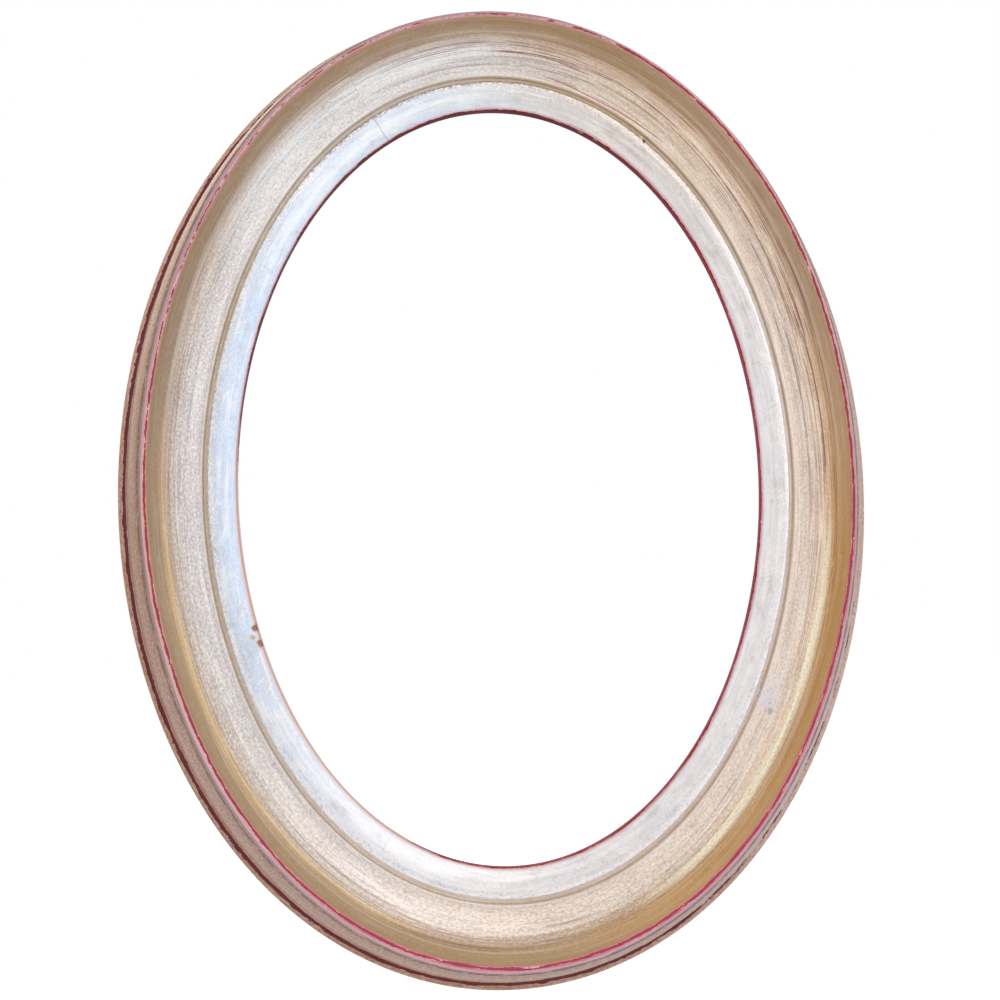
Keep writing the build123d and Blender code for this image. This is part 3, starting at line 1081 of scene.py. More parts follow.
    def lay_wear(self) -> Value:
        """The ground showing through at the arrises, with pink leaf beside it.

        The edge of the wear is lowered where the frame has kept its leaf: on the ridge at
        the upper left, on the lip at the lower left and on the foot at the right.

        Returns:
            How bare each place is.
        """
        graph = self.graph
        wear = self.strength((
            (Member.LIP_WALL, (0.90, 0.90)), (Member.SIGHT_EDGE, (0.22, 0.80), (0.50, 0.40)),
            (Member.BAND, (0.04, 0.10), (0.88, 0.10), (0.99, 0.34)), (Member.QUIRK, (0.30, 0.05)),
            (Member.SCOOP, (0.97, 0.05)),
            (Member.RIDGE, (0.08, 0.34), (0.22, 0.74), (0.42, 0.74), (0.56, 0.36), (0.90, 0.16)),
            (Member.COVE, (0.30, 0.05)), (Member.SIDE, (0.00, 0.36), (0.12, 0.12), (0.98, 0.20)),
            (Member.GROOVE, (0.62, 0.30), (0.74, 0.80)),
            (Member.BEAD, (0.01, 0.80), (0.05, 0.25), (0.70, 0.46), (0.98, 0.55)),
        ))
        patch = graph.centred(self.stretched(80.0, 420.0, 1.4, 4.0))
        crumbs = graph.centred(self.stretched(420.0, 800.0, 5.5, 3.0))
        edge = graph.math("MULTIPLY_ADD", patch, self.patchy_wear, wear)
        edge = graph.math("MULTIPLY_ADD", crumbs, self.crumbly_wear, edge)
        ridge = self.strength((
            (Member.SCOOP, (0.90, 0.0)), (Member.RIDGE, (0.05, 1.0)), (Member.COVE, (0.30, 0.0)),
        ))
        lip = self.strength((
            (Member.LIP_WALL, (0.0, 1.0)), (Member.SIGHT_EDGE, (0.80, 1.0)), (Member.BAND, (0.05, 0.0)),
        ))
        foot = self.strength((
            (Member.SIDE, (0.90, 0.0)), (Member.GROOVE, (0.40, 1.0)), (Member.BEAD, (0.90, 1.0)),
        ))
        for member, turn, start, full, share in (
            (ridge, 330.0, 0.30, 0.90, 0.24),
            (lip, 238.0, 0.66, 0.92, 0.55),
            (foot, 100.0, 0.30, 0.90, 0.30),
        ):
            kept = graph.times(self.facing(turn, start, full), member, share)
            edge = graph.math("SUBTRACT", edge, kept)
        halo = graph.smooth(edge, 0.34, 0.46)
        gone = graph.smooth(edge, 0.50, 0.57)
        ridge_red = graph.mix(self.facing(160.0, 0.1, 0.9), self.crimson, self.magenta)
        ground = graph.over(self.ground_red, self.lip_red, self.facing(120.0, -0.3, 0.5), lip)
        ground = graph.mix(ridge, ground, ridge_red)
        self.lay(self.halo_pink, halo, 0.55)
        self.lay(ground, gone, 0.9)
        return gone

    def lay_arris_specks(self) -> None:
        """Purple and pale specks along the band's arris, thickest at the upper left."""
        graph = self.graph
        where = self.strength((
            (Member.BAND, (0.84, 0.0), (0.93, 0.6)), (Member.QUIRK, (0.10, 1.0), (0.40, 0.0)),
        ))
        upper_left = self.facing(341.0, 0.80, 0.97)
        specks = self.stretched(380.0, 900.0, 8.2, 3.0)
        dark = graph.smooth(graph.math("MULTIPLY_ADD", upper_left, 0.14, specks), 0.58, 0.66)
        self.lay(self.purple, dark, where, graph.between(upper_left, 0.30, 0.75))
        self.lay(self.pale_leaf, graph.smooth(specks, 0.47, 0.38), where, 0.8)

    def lay_marks(self) -> None:
        """Chips, stains and bare spots, each a ball round its place with a ragged edge."""
        graph = self.graph
        ragged = graph.centred(graph.noise(self.coords, 330.0, 4.0, 0.65))
        for mark in MARKS:
            height = self.section.front_point(mark.out)[0]
            turn = np.array(math.radians(mark.turn))
            place = self.oval.place(turn, np.array(mark.out), np.array(height))
            away = graph.add("VectorMath", operation="DISTANCE")
            graph.put(away.inputs[0], self.coords)
            away.inputs[1].default_value = place.tolist()
            edge = graph.math("DIVIDE", away.outputs["Value"], mark.reach)
            edge = graph.math("MULTIPLY_ADD", ragged, mark.ragged, edge)
            self.lay(mark.colour, graph.smooth(edge, 1.0, 0.55), mark.share)

    def lay_joints(self) -> None:
        """A thin broken brown line where two boards meet, plain at the upper left and faint elsewhere."""
        graph = self.graph
        near = graph.add("Attribute", attribute_name="joint").outputs["Fac"]
        where = self.strength((
            (Member.BAND, (0.02, 1.0), (0.80, 1.0)), (Member.QUIRK, (0.50, 0.4)),
            (Member.SCOOP, (0.10, 0.25)), (Member.SIDE, (0.90, 0.25)),
        ))
        share = graph.between(self.facing(self.open_joint_turn, 0.95, 0.99), 0.10, 0.44)
        self.lay(self.line_brown, graph.smooth(near, 0.35, 0.95), where, share)

    def surface(self, bare: Value) -> bpy.types.Material:
        """Close the tree: metal where the leaf is whole, dull where it is gone, with fine relief.

        Args:
            bare: How bare each place is.

        Returns:
            The material.
        """
        graph = self.graph
        lines = self.stretched(6.0, 900.0, 20.5)
        normal = graph.bump(lines, self.relief_share, self.relief_depth)
        normal = graph.bump(self.grain, self.relief_share, self.relief_depth, normal)
        roughness = graph.between(self.grain, 0.30, 0.50)
        roughness = graph.math("MULTIPLY_ADD", bare, 0.15, roughness)
        outer = self.strength((
            (Member.COVE, (0.60, 0.0)), (Member.STEP, (0.50, 0.8)), (Member.BEAD, (0.90, 0.8)),
        ))
        dull = graph.math("MAXIMUM", bare, outer)
        metallic = graph.between(dull, 0.5, 0.0)
        specular = graph.between(dull, 0.5, 0.08)
        return graph.finish(self.base, roughness, metallic, normal, specular)


@dataclass(frozen=True)
class BareWoodFinish:
    """Planed softwood, darkened with age, its grain straight along the board.

    The scales are clouds to a metre along x, y and z where the grain lies along x.
    """

    pale: tuple = linear(214, 178, 132)
    dark: tuple = linear(186, 144, 98)
    fibre: tuple = linear(146, 104, 68)
    dirt: tuple = linear(104, 80, 60)
    overrun: tuple = linear(122, 52, 54)
    ring_scale: tuple[float, float, float] = (1.6, 40.0, 40.0)
    fibre_scale: tuple[float, float, float] = (8.0, 700.0, 560.0)
    ring_count: float = 22.0

    def material(self, name: str, lying: bool, section: Section | None = None) -> bpy.types.Material:
        """Make the finish.

        Args:
            name: The material's name.
            lying: True where the grain runs across the frame, False where it runs up.
            section: The moulding's section, where the red ground ran over the edge onto the back.

        Returns:
            The material.
        """
        graph = Graph(name)
        coords = graph.coords()
        scales = (self.ring_scale, self.fibre_scale)
        ring, hair = scales if lying else (scale[::-1] for scale in scales)
        growth = graph.noise(graph.scaled(coords, ring), 1.0, 2.0, 0.35)
        rings = graph.math("FRACT", graph.times(growth, self.ring_count))
        colour = graph.mix(graph.smooth(rings, 0.35, 0.95), self.pale, self.dark)
        colour = graph.mix(graph.smooth(rings, 0.10, 0.0), colour, self.dark)
        fibres = graph.noise(graph.scaled(coords, hair), 1.0, 3.0, 0.7)
        colour = graph.over(colour, self.fibre, graph.smooth(fibres, 0.50, 0.72), 0.55)
        dirt = graph.noise(coords, 16.0, 5.0, 0.65)
        colour = graph.over(colour, self.dirt, graph.smooth(dirt, 0.50, 0.78), 0.45)
        if section is not None:
            colour = self.overrun_edge(graph, section, coords, colour)
        return graph.finish(colour, 0.72, 0.0, graph.bump(fibres, 0.45, 0.00025))

    def overrun_edge(self, graph: Graph, section: Section, coords: Value, colour: Value) -> Value:
        """Red ground run over the outer edge of the back, thin and ragged.

        Args:
            graph: The material's graph.
            section: The moulding's section.
            coords: Object coordinates.
            colour: The colour so far.

        Returns:
            The colour with the overrun.
        """
        across = graph.parts(graph.add("UVMap", uv_map="leaf").outputs[0])[1]
        inward = graph.math("SUBTRACT", across, section.spans[Member.BACK][0])
        ragged = graph.centred(graph.noise(coords, 120.0, 5.0, 0.7))
        edge = graph.math("MULTIPLY_ADD", ragged, 0.012, inward)
        return graph.over(colour, self.overrun, graph.smooth(edge, 0.0032, 0.0012), 0.7)


@dataclass(frozen=True)
class MetalFinish:
    """Small hardware of plated metal, dulled, scratched and tarnished."""

    name: str
    colour: tuple
    tarnish: tuple
    spot: tuple
    roughness: float

    def material(self) -> bpy.types.Material:
        """Make the finish: tarnished clouds, small dark spots, fine scratches and a little unevenness.

        Returns:
            The material.
        """
        graph = Graph(self.name)
        coords = graph.coords()
        clouds = graph.noise(coords, 240.0, 4.0, 0.6)
        spots = graph.noise(coords, 1500.0, 2.0, 0.5)
        scratches = graph.noise(graph.scaled(coords, (3200.0, 3200.0, 260.0)), 1.0, 2.0)
        colour = graph.mix(graph.smooth(clouds, 0.40, 0.68), self.colour, self.tarnish)
        colour = graph.over(colour, self.spot, graph.smooth(spots, 0.62, 0.74), 0.7)
        colour = graph.over(colour, self.colour, graph.smooth(scratches, 0.60, 0.72), 0.3)
        roughness = graph.math("MULTIPLY_ADD", clouds, 0.35, self.roughness - 0.17)
        normal = graph.bump(scratches, 0.18, 0.00004)
        return graph.finish(colour, roughness, 0.92, graph.bump(clouds, 0.15, 0.0002, normal))


@dataclass(frozen=True)
class RubberFinish:
    """Matt moulded rubber."""

    colour: tuple = linear(46, 43, 42)
    dust: tuple = linear(98, 93, 88)

    def material(self) -> bpy.types.Material:
        """Make the finish: a fine grain with a little dust.

        Returns:
            The material.
        """
        graph = Graph("bumper_rubber")
        coords = graph.coords()
        grain = graph.noise(coords, 1800.0, 2.0)
        dusty = graph.smooth(graph.noise(coords, 300.0, 4.0, 0.7), 0.48, 0.72)
        colour = graph.over(self.colour, self.dust, dusty, 0.5)
        roughness = graph.between(dusty, 0.62, 0.77)
        return graph.finish(colour, roughness, 0.0, graph.bump(grain, 0.3, 0.0001))


def grid_faces(rows: int, columns: int, close_rows: bool, close_columns: bool) -> np.ndarray:
    """Squares of a grid of points numbered row by row; a closed side joins its last line to its first.

    Args:
        rows: Number of rows.
        columns: Number of columns.
        close_rows: True if the last row meets the first.
        close_columns: True if the last column meets the first.

    Returns:
        Faces as rows of four point numbers.
    """
    row = np.arange(rows if close_rows else rows - 1)
    column = np.arange(columns if close_columns else columns - 1)
    row, column = np.meshgrid(row, column, indexing="ij")
    next_row, next_column = (row + 1) % rows, (column + 1) % columns
    corners = [(row, column), (next_row, column), (next_row, next_column), (row, next_column)]
    return np.stack([r * columns + c for r, c in corners], axis=-1).reshape(-1, 4)


def add_mesh(name: str, points: np.ndarray, faces: list[list[int]]) -> bpy.types.Object:
    """Put points and faces into a new object at the origin.

    Args:
        name: The object's name.
        points: Points as rows of x, y, z.
        faces: Faces as lists of point numbers.

    Returns:
        The object, linked to the scene.
    """
    mesh = bpy.data.meshes.new(name)
    mesh.from_pydata(points, [], faces)
    mesh.update()
    piece = bpy.data.objects.new(name, mesh)
    bpy.context.scene.collection.objects.link(piece)
    return piece


class Ends(Enum):
    """How the first and last row of a skin are closed."""

    JOINED = "joined"
    CAPPED = "capped"
    POLES = "poles"


@dataclass(frozen=True)
class Skin:
    """A closed surface on a grid of points: each row is a loop, and the ends close as named."""

    points: np.ndarray
    ends: Ends

    def faces(self, start: int) -> list[list[int]]:
        """The skin's faces, with its first point numbered start.

        Args:
            start: Number of the first point.

        Returns:
            Faces as lists of point numbers.
        """
        rows, columns = self.points.shape[:2]
        faces = (grid_faces(rows, columns, self.ends is Ends.JOINED, True) + start).tolist()
        if self.ends is Ends.CAPPED:
            last = start + (rows - 1) * columns
            faces.append(list(range(start, start + columns)))
            faces.append(list(range(last, last + columns)))
        return faces


@dataclass(frozen=True)
class SmallPiece:
    """A piece of hardware made of one or more skins, named by its node and an ending."""

    node: str
    ending: str
    skins: list[Skin]
    slot: str
    body: str = "frame"

    def build(self, material: bpy.types.Material) -> bpy.types.Object:
        """Make the mesh, close it, turn its faces outward and put it in its node's place.

        Args:
            material: The piece's finish.

        Returns:
            The piece's object.
        """
        faces, start = [], 0
        for skin in self.skins:
            faces += skin.faces(start)
            start += skin.points.shape[0] * skin.points.shape[1]
        points = np.concatenate([skin.points.reshape(-1, 3) for skin in self.skins])
        piece = add_mesh(f"{self.node}_{self.ending}", points, faces)
        work = bmesh.new()
        work.from_mesh(piece.data)
        bmesh.ops.remove_doubles(work, verts=work.verts, dist=WELD_REACH)
        bmesh.ops.dissolve_degenerate(work, edges=work.edges, dist=LEAST_EDGE)
        bmesh.ops.recalc_face_normals(work, faces=work.faces)
        work.to_mesh(piece.data)
        work.free()
        piece.data.polygons.foreach_set("use_smooth", np.ones(len(piece.data.polygons), bool))
        piece.data.set_sharp_from_angle(angle=HARDWARE_SHARP)
        piece.data.materials.append(material)
        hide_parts(self.node)
        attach(piece, self.body)
        return piece


@dataclass(frozen=True)
class Seat:
    """A place on the moulding's back with axes of its own: out, along, and toward the wall."""

    origin: np.ndarray
    out: np.ndarray
    along: np.ndarray

    def points(self, out: np.ndarray, along: np.ndarray, height: np.ndarray) -> np.ndarray:
        """Points given in the seat's own axes, in the frame's axes: origin plus each axis times its share.

        Args:
            out: Distances along the first axis.
            along: Distances along the second axis.
            height: Distances toward the wall.

        Returns:
            An array of points whose last axis is x, y, z.
        """
        out, along, height = np.broadcast_arrays(out, along, height)
        wall = np.array([0.0, 1.0, 0.0])
        return (self.origin + out[..., None] * self.out + along[..., None] * self.along
                + height[..., None] * wall)

    def raised(self, along: float, height: float) -> "Seat":
        """The same axes from a place further along and nearer the wall."""
        origin = self.origin + along * self.along + np.array([0.0, height, 0.0])
        return Seat(origin, self.out, self.along)


@dataclass(frozen=True)
class SlottedScrew:
    """A round-head wood screw with a slot across its head.

    Its dome's loops run from a first one, in halves of the slot's width, to a last one and
    a rim loop, in shares of the head's radius. The tip's width is a share of the shank's.
    """

    shank: float
    length: float
    head: float
    head_height: float
    slot_width: float = 0.00085
    slot_depth: float = 0.00115
    rim: float = 0.00018
    tip: float = 0.003
    tip_share: float = 0.2
    slot_points: int = 5
    side_points: int = 15
    dome_loops: int = 8
    first_loop: float = 1.5
    last_loop: float = 0.93
    rim_loop: float = 0.98

    def skin(self, seat: Seat, slot_turn: float) -> Skin:
        """The screw as loops from the slot's middle out over the rim and down to its point.

        A loop at radius r has the angle arcsin(half the slot over r) to each side of the slot.
        Outside it the height is the rim plus the rest of the head times the root of
        1 - (r / R) squared, and inside it no more than the slot's floor, where the first
        loop lies flat.

        Args:
            seat: Where the head sits.
            slot_turn: Angle of the slot about the screw in degrees.

        Returns:
            The screw's skin.
        """
        half, radius = self.slot_width / 2, self.head / 2
        dome_loops = np.linspace(self.first_loop * half, self.last_loop * radius, self.dome_loops)
        loops = np.concatenate([[half, half], dome_loops, [self.rim_loop * radius, radius]])
        angle, in_slot = self.loop_angles(loops)
        dome = self.rim + (self.head_height - self.rim) * np.sqrt(1 - (loops / radius) ** 2)[:, None]
        floor = self.head_height - self.slot_depth
        height = np.where(in_slot[None, :], np.minimum(dome, floor), dome)
        height[0] = floor
        below = np.array([radius, self.shank / 2, self.shank / 2, self.shank / 2 * self.tip_share])
        depths = np.array([0.0, 0.0, self.tip - self.length, -self.length])
        angle = np.concatenate([angle, np.repeat(angle[-1:], len(below), axis=0)])
        height = np.concatenate([height, np.repeat(depths[:, None], height.shape[1], axis=1)])
        radii = np.concatenate([loops, below])[:, None]
        turned = angle + math.radians(slot_turn)
        return Skin(seat.points(radii * np.cos(turned), radii * np.sin(turned), height), Ends.CAPPED)

    def loop_angles(self, radii: np.ndarray) -> tuple[np.ndarray, np.ndarray]:
        """Angles of each loop's points: across the slot, round one side, and the same again.

        Args:
            radii: The loops' radii, none under half the slot.

        Returns:
            Angles by loop and point, and which points lie in the slot.
        """
        reach = np.arcsin(np.minimum(1.0, self.slot_width / 2 / radii))[:, None]
        across = reach * np.linspace(-1, 1, self.slot_points)[None, :]
        side = reach + (math.pi - 2 * reach) * np.linspace(0, 1, self.side_points)[None, :]
        angles = np.concatenate([across, side, across + math.pi, side + math.pi], axis=1)
        half_round = [True] * self.slot_points + [False] * self.side_points
        return angles, np.array(half_round * 2)


@dataclass(frozen=True)
class TurnButton:
    """A stamped turn button: a tapering plate with round ends, rolled edges and a pressed rib.

    The rib runs from its start to its end, along the plate from the pivot, and fades in and
    out. Bore shares say where the loops lie from the plate's edge in to the bore.
    """

    pivot_radius: float = 0.005
    tip_radius: float = 0.0032
    reach: float = 0.017
    thickness: float = 0.0015
    play: float = 0.0001
    bore_radius: float = 0.00158
    edge: float = 0.0004
    rib_height: float = 0.00022
    rib_width: float = 0.0012
    rib_start: float = 0.0062
    rib_end: float = 0.0138
    rib_fade: float = 0.0016
    round_points: int = 25
    side_points: int = 9
    edge_points: int = 5
    bore_shares: tuple[float, ...] = (0.08, 0.2, 0.35, 0.5, 0.7, 0.9, 1.0)

    def outline(self) -> tuple[np.ndarray, np.ndarray]:
        """Outline of the plate: half circles round the pivot and the tip, straight between them.

        Returns:
            Points round the outline, and the directions square to it, outward.
        """
        tip_middle = self.reach - self.tip_radius
        low = np.linspace(0, -math.pi, self.round_points)
        high = np.linspace(math.pi, 0, self.round_points)
        first = self.pivot_radius * np.stack([np.cos(low), np.sin(low)], axis=-1)
        second = self.tip_radius * np.stack([np.cos(high), np.sin(high)], axis=-1) + [0.0, tip_middle]
        share = np.linspace(0, 1, self.side_points)[1:-1, None]
        up_side = first[-1] + share * (second[0] - first[-1])
        down_side = second[-1] + share * (first[0] - second[-1])
        points = np.concatenate([first, up_side, second, down_side])
        step = np.roll(points, -1, axis=0) - np.roll(points, 1, axis=0)
        step /= np.linalg.norm(step, axis=1, keepdims=True)
        return points, np.stack([-step[:, 1], step[:, 0]], axis=-1)

    def skin(self, seat: Seat) -> Skin:
        """The plate as loops from the bore over the lower face, round the edge and back over the upper one.

        A loop is the outline moved in by its inset, then drawn toward the bore's circle by its
        share. The edge is a quarter circle at each face.

        Args:
            seat: The pivot's seat on the back.

        Returns:
            The plate's skin.
        """
        points, normal = self.outline()
        bore = self.bore_radius * points / np.linalg.norm(points, axis=1, keepdims=True)
        quarter = np.linspace(0, math.pi / 2, self.edge_points)
        roll_in, roll_up = self.edge * (1 - np.sin(quarter)), self.edge * (1 - np.cos(quarter))
        inner = np.array(self.bore_shares)
        flat, level = np.full(len(inner), self.edge), np.zeros(len(inner))
        inset = np.concatenate([flat[::-1], roll_in, roll_in[::-1], flat])
        share = np.concatenate([inner[::-1], np.zeros(2 * len(quarter)), inner])
        top = self.thickness
        height = np.concatenate([level, roll_up, (top - roll_up)[::-1], top + level])
        loops = points[None] - inset[:, None, None] * normal[None]
        loops = loops + share[:, None, None] * (bore[None] - loops)
        x, y = loops[..., 0], loops[..., 1]
        rise = np.clip((y - self.rib_start) / self.rib_fade, 0, 1)
        rise = rise * np.clip((self.rib_end - y) / self.rib_fade, 0, 1)
        upper = (height > top / 2)[:, None]
        rib = self.rib_height * np.exp(-((x / self.rib_width) ** 2)) * rise * upper
        return Skin(seat.points(x, y, self.play + height[:, None] + rib), Ends.JOINED)


@dataclass(frozen=True)
class StrapHanger:
    """A strap hanger: a plate with a round end, rolled into an eye that holds a D ring."""

    width: float = 0.012
    thickness: float = 0.0012
    drop: float = 0.038
    edge: float = 0.0003
    eye_radius: float = 0.00148
    roll_turn: float = 294.0
    wire: float = 0.0028
    leg: float = 0.014
    corner: float = 0.003
    screw_drops: tuple[float, float] = (0.020, 0.0315)
    end_turn: float = 6.0
    plate_points: int = 12
    roll_points: int = 40
    corner_points: int = 5
    leg_points: int = 13
    bend_points: int = 7
    bow_points: int = 41
    wire_points: int = 20

    def eye_height(self) -> float:
        """Height of the eye's axis over the moulding's back."""
        return self.eye_radius + self.thickness

    def strap(self, seat: Seat) -> Skin:
        """The strap: a rounded oblong carried up the plate and round the eye.

        The plate's half width a distance d from its end is the root of r squared less
        (r - d) squared, up to r, half the strap's width. Round the eye the middle line is a
        circle of the eye's radius plus half the thickness.

        Args:
            seat: The eye's seat on the back.

        Returns:
            The strap's skin.
        """
        half = self.width / 2
        end = np.linspace(math.radians(self.end_turn), math.pi / 2, self.plate_points)
        straight = np.linspace(half - self.drop, 0, self.plate_points)[1:]
        roll = np.radians(np.linspace(0, self.roll_turn, self.roll_points)[1:])
        middle, flat = self.eye_radius + self.thickness / 2, len(end) + len(straight)
        along = np.concatenate([half * (1 - np.cos(end)) - self.drop, straight, middle * np.sin(roll)])
        angle = np.concatenate([np.zeros(flat), roll])
        rolled = self.eye_height() - middle * np.cos(roll)
        height = np.concatenate([np.full(flat, self.thickness / 2), rolled])
        half_width = np.concatenate([half * np.sin(end), np.full(len(straight) + len(roll), half)])
        corner = np.linspace(0, math.pi / 2, self.corner_points)
        turn = np.concatenate([corner + quarter * math.pi / 2 for quarter in range(4)])
        side = np.repeat([1, -1, -1, 1], self.corner_points)
        face = np.repeat([1, 1, -1, -1], self.corner_points)
        across = side * (half_width[:, None] - self.edge) + self.edge * np.cos(turn)
        off = face * (self.thickness / 2 - self.edge) + self.edge * np.sin(turn)
        up = along[:, None] + off * np.sin(angle)[:, None]
        high = height[:, None] - off * np.cos(angle)[:, None]
        return Skin(seat.points(across, up, high), Ends.CAPPED)

    def ring(self, seat: Seat) -> Skin:
        """The D ring: a round wire along its leg, two corners and a bow, each a circle's arc.

        Args:
            seat: The eye's seat on the back.

        Returns:
            The ring's skin.
        """
        half = self.leg / 2
        leg = np.linspace(-half, half, self.leg_points)[1:-1]
        bow = np.linspace(0, -180, self.bow_points)[1:-1]
        arcs = (
            (half, self.corner, np.linspace(90, 0, self.bend_points)),
            (0.0, half + self.corner, bow),
            (-half, self.corner, np.linspace(180, 90, self.bend_points)),
        )
        x, z, turns = [leg], [np.zeros(len(leg))], [np.full(len(leg), math.pi / 2)]
        for middle, radius, degrees in arcs:
            turn = np.radians(degrees)
            x.append(middle + radius * np.cos(turn))
            z.append(radius * np.sin(turn) - self.corner)
            turns.append(turn)
        x, z, turn = np.concatenate(x), np.concatenate(z), np.concatenate(turns)
        round_wire = np.linspace(0, 2 * math.pi, self.wire_points, endpoint=False)[None, :]
        off = self.wire / 2 * np.cos(round_wire)
        out = x[:, None] + off * np.cos(turn)[:, None]
        along = z[:, None] + off * np.sin(turn)[:, None]
        height = self.eye_height() + self.wire / 2 * np.sin(round_wire)
        return Skin(seat.points(out, along, height), Ends.JOINED)


@dataclass(frozen=True)
class WallBumper:
    """A round rubber bumper with a rounded rim."""

    diameter: float = 0.013
    thickness: float = 0.006
    rim: float = 0.0011
    foot_rim: float = 0.0003
    rim_points: int = 8
    round_points: int = 56

    def skin(self, seat: Seat) -> Skin:
        """The bumper as loops: flat below, straight side, a quarter circle at the rim, flat above.

        Args:
            seat: Its seat on the back.

        Returns:
            The bumper's skin.
        """
        radius = self.diameter / 2
        quarter = np.linspace(0, math.pi / 2, self.rim_points)
        low_in, low_up = self.foot_rim * (1 - np.sin(quarter)), self.foot_rim * (1 - np.cos(quarter))
        top_in, top_down = self.rim * (1 - np.cos(quarter)), self.rim * (1 - np.sin(quarter))
        flat = [0.0, radius - self.foot_rim]
        radii = np.concatenate([flat, radius - low_in, radius - top_in, [0.0]])
        heights = np.concatenate([[0.0, 0.0], low_up, self.thickness - top_down, [self.thickness]])
        turn = np.linspace(0, 2 * math.pi, self.round_points, endpoint=False)[None, :]
        out, along = radii[:, None] * np.cos(turn), radii[:, None] * np.sin(turn)
        return Skin(seat.points(out, along, heights[:, None]), Ends.POLES)


METALS = (
    MetalFinish("button_brass", linear(196, 160, 98), linear(140, 104, 62), linear(84, 60, 40), 0.42),
    MetalFinish("screw_brass", linear(204, 168, 104), linear(132, 98, 58), linear(80, 56, 38), 0.36),
    MetalFinish("hanger_steel", linear(186, 186, 182), linear(134, 129, 120), linear(92, 82, 72), 0.38),
)

BUTTON_TURNS = {
    "top": 0.0, "upper_right": 62.0, "lower_right": 118.0,
    "bottom": 180.0, "lower_left": 242.0, "upper_left": 298.0,
}


@dataclass
class BackHardware:
    """Turn buttons, strap hangers, their screws and the bumpers on the moulding's back.

    A screw's slot is turned by its first number of degrees, by the next one more for each
    screw, and for a hanger's by the last one toward its side.
    """

    oval: SightOval
    button_out: float = 0.018
    hanger_turn: float = 66.0
    hanger_out: float = 0.046
    bumper_turn: float = 146.0
    bumper_out: float = 0.044
    button: TurnButton = TurnButton()
    button_screw: SlottedScrew = SlottedScrew(0.003, 0.013, 0.007, 0.0022)
    hanger: StrapHanger = StrapHanger()
    hanger_screw: SlottedScrew = SlottedScrew(0.0034, 0.014, 0.0072, 0.0024)
    bumper: WallBumper = WallBumper()
    button_slots: tuple[float, float] = (25.0, 67.0)
    hanger_slots: tuple[float, float, float] = (40.0, 75.0, 30.0)

    def seat(self, turn: float, out: float) -> Seat:
        """A seat square to the oval.

        Args:
            turn: The oval's own angle from the top in degrees.
            out: Distance out from the sight edge.

        Returns:
            The seat on the back.
        """
        angle = np.array(math.radians(turn))
        normal_x, normal_z = self.oval.outward(angle)
        origin = self.oval.place(angle, np.array(out), np.array(0.0))
        return Seat(origin, np.array([normal_x, 0.0, normal_z]), np.array([normal_z, 0.0, -normal_x]))

    def hanger_seat(self, side: int) -> Seat:
        """The upright seat at a hanger's eye, on the left for -1 and on the right for 1."""
        origin = self.seat(side * self.hanger_turn, self.hanger_out).origin
        return Seat(origin, np.array([-1.0, 0.0, 0.0]), np.array([0.0, 0.0, 1.0]))

    def pieces(self) -> list[SmallPiece]:
        """Every piece of the hardware with its skins, body, slot and node.

        Returns:
            The pieces, not built yet.
        """
        pieces, screws = [], []
        lift = self.button.thickness + 2 * self.button.play
        first, more = self.button_slots
        for number, (name, turn) in enumerate(BUTTON_TURNS.items()):
            seat, node = self.seat(turn, self.button_out), "turn_button_" + name
            pieces.append(SmallPiece(node, "plate", [self.button.skin(seat)], "button_brass", node))
            screws.append(self.button_screw.skin(seat.raised(0.0, lift), first + more * number))
        pieces.append(SmallPiece("turn_button_screws", "slotted", screws, "screw_brass"))
        screws = []
        first, more, sideways = self.hanger_slots
        for side, name in ((-1, "left"), (1, "right")):
            seat, ring = self.hanger_seat(side), "hanger_ring_" + name
            strap, wire = [self.hanger.strap(seat)], [self.hanger.ring(seat)]
            pieces.append(SmallPiece("hanger_strap_" + name, "rolled", strap, "hanger_steel"))
            pieces.append(SmallPiece(ring, "wire", wire, "hanger_steel", ring))
            for number, drop in enumerate(self.hanger.screw_drops):
                turn = first + more * number + sideways * side
                place = seat.raised(-drop, self.hanger.thickness)
                screws.append(self.hanger_screw.skin(place, turn))
            pad = [self.bumper.skin(self.seat(side * self.bumper_turn, self.bumper_out))]
            pieces.append(SmallPiece("wall_bumper_" + name, "pad", pad, "bumper_rubber"))
        pieces.append(SmallPiece("hanger_screws", "slotted", screws, "hanger_steel"))
        return pieces

    def build(self) -> list[bpy.types.Object]:
        """Build and dress every piece.

        Returns:
            The pieces' objects.
        """
        finishes = {finish.name: finish.material() for finish in METALS}
        finishes["bumper_rubber"] = RubberFinish().material()
        return [piece.build(finishes[piece.slot]) for piece in self.pieces()]


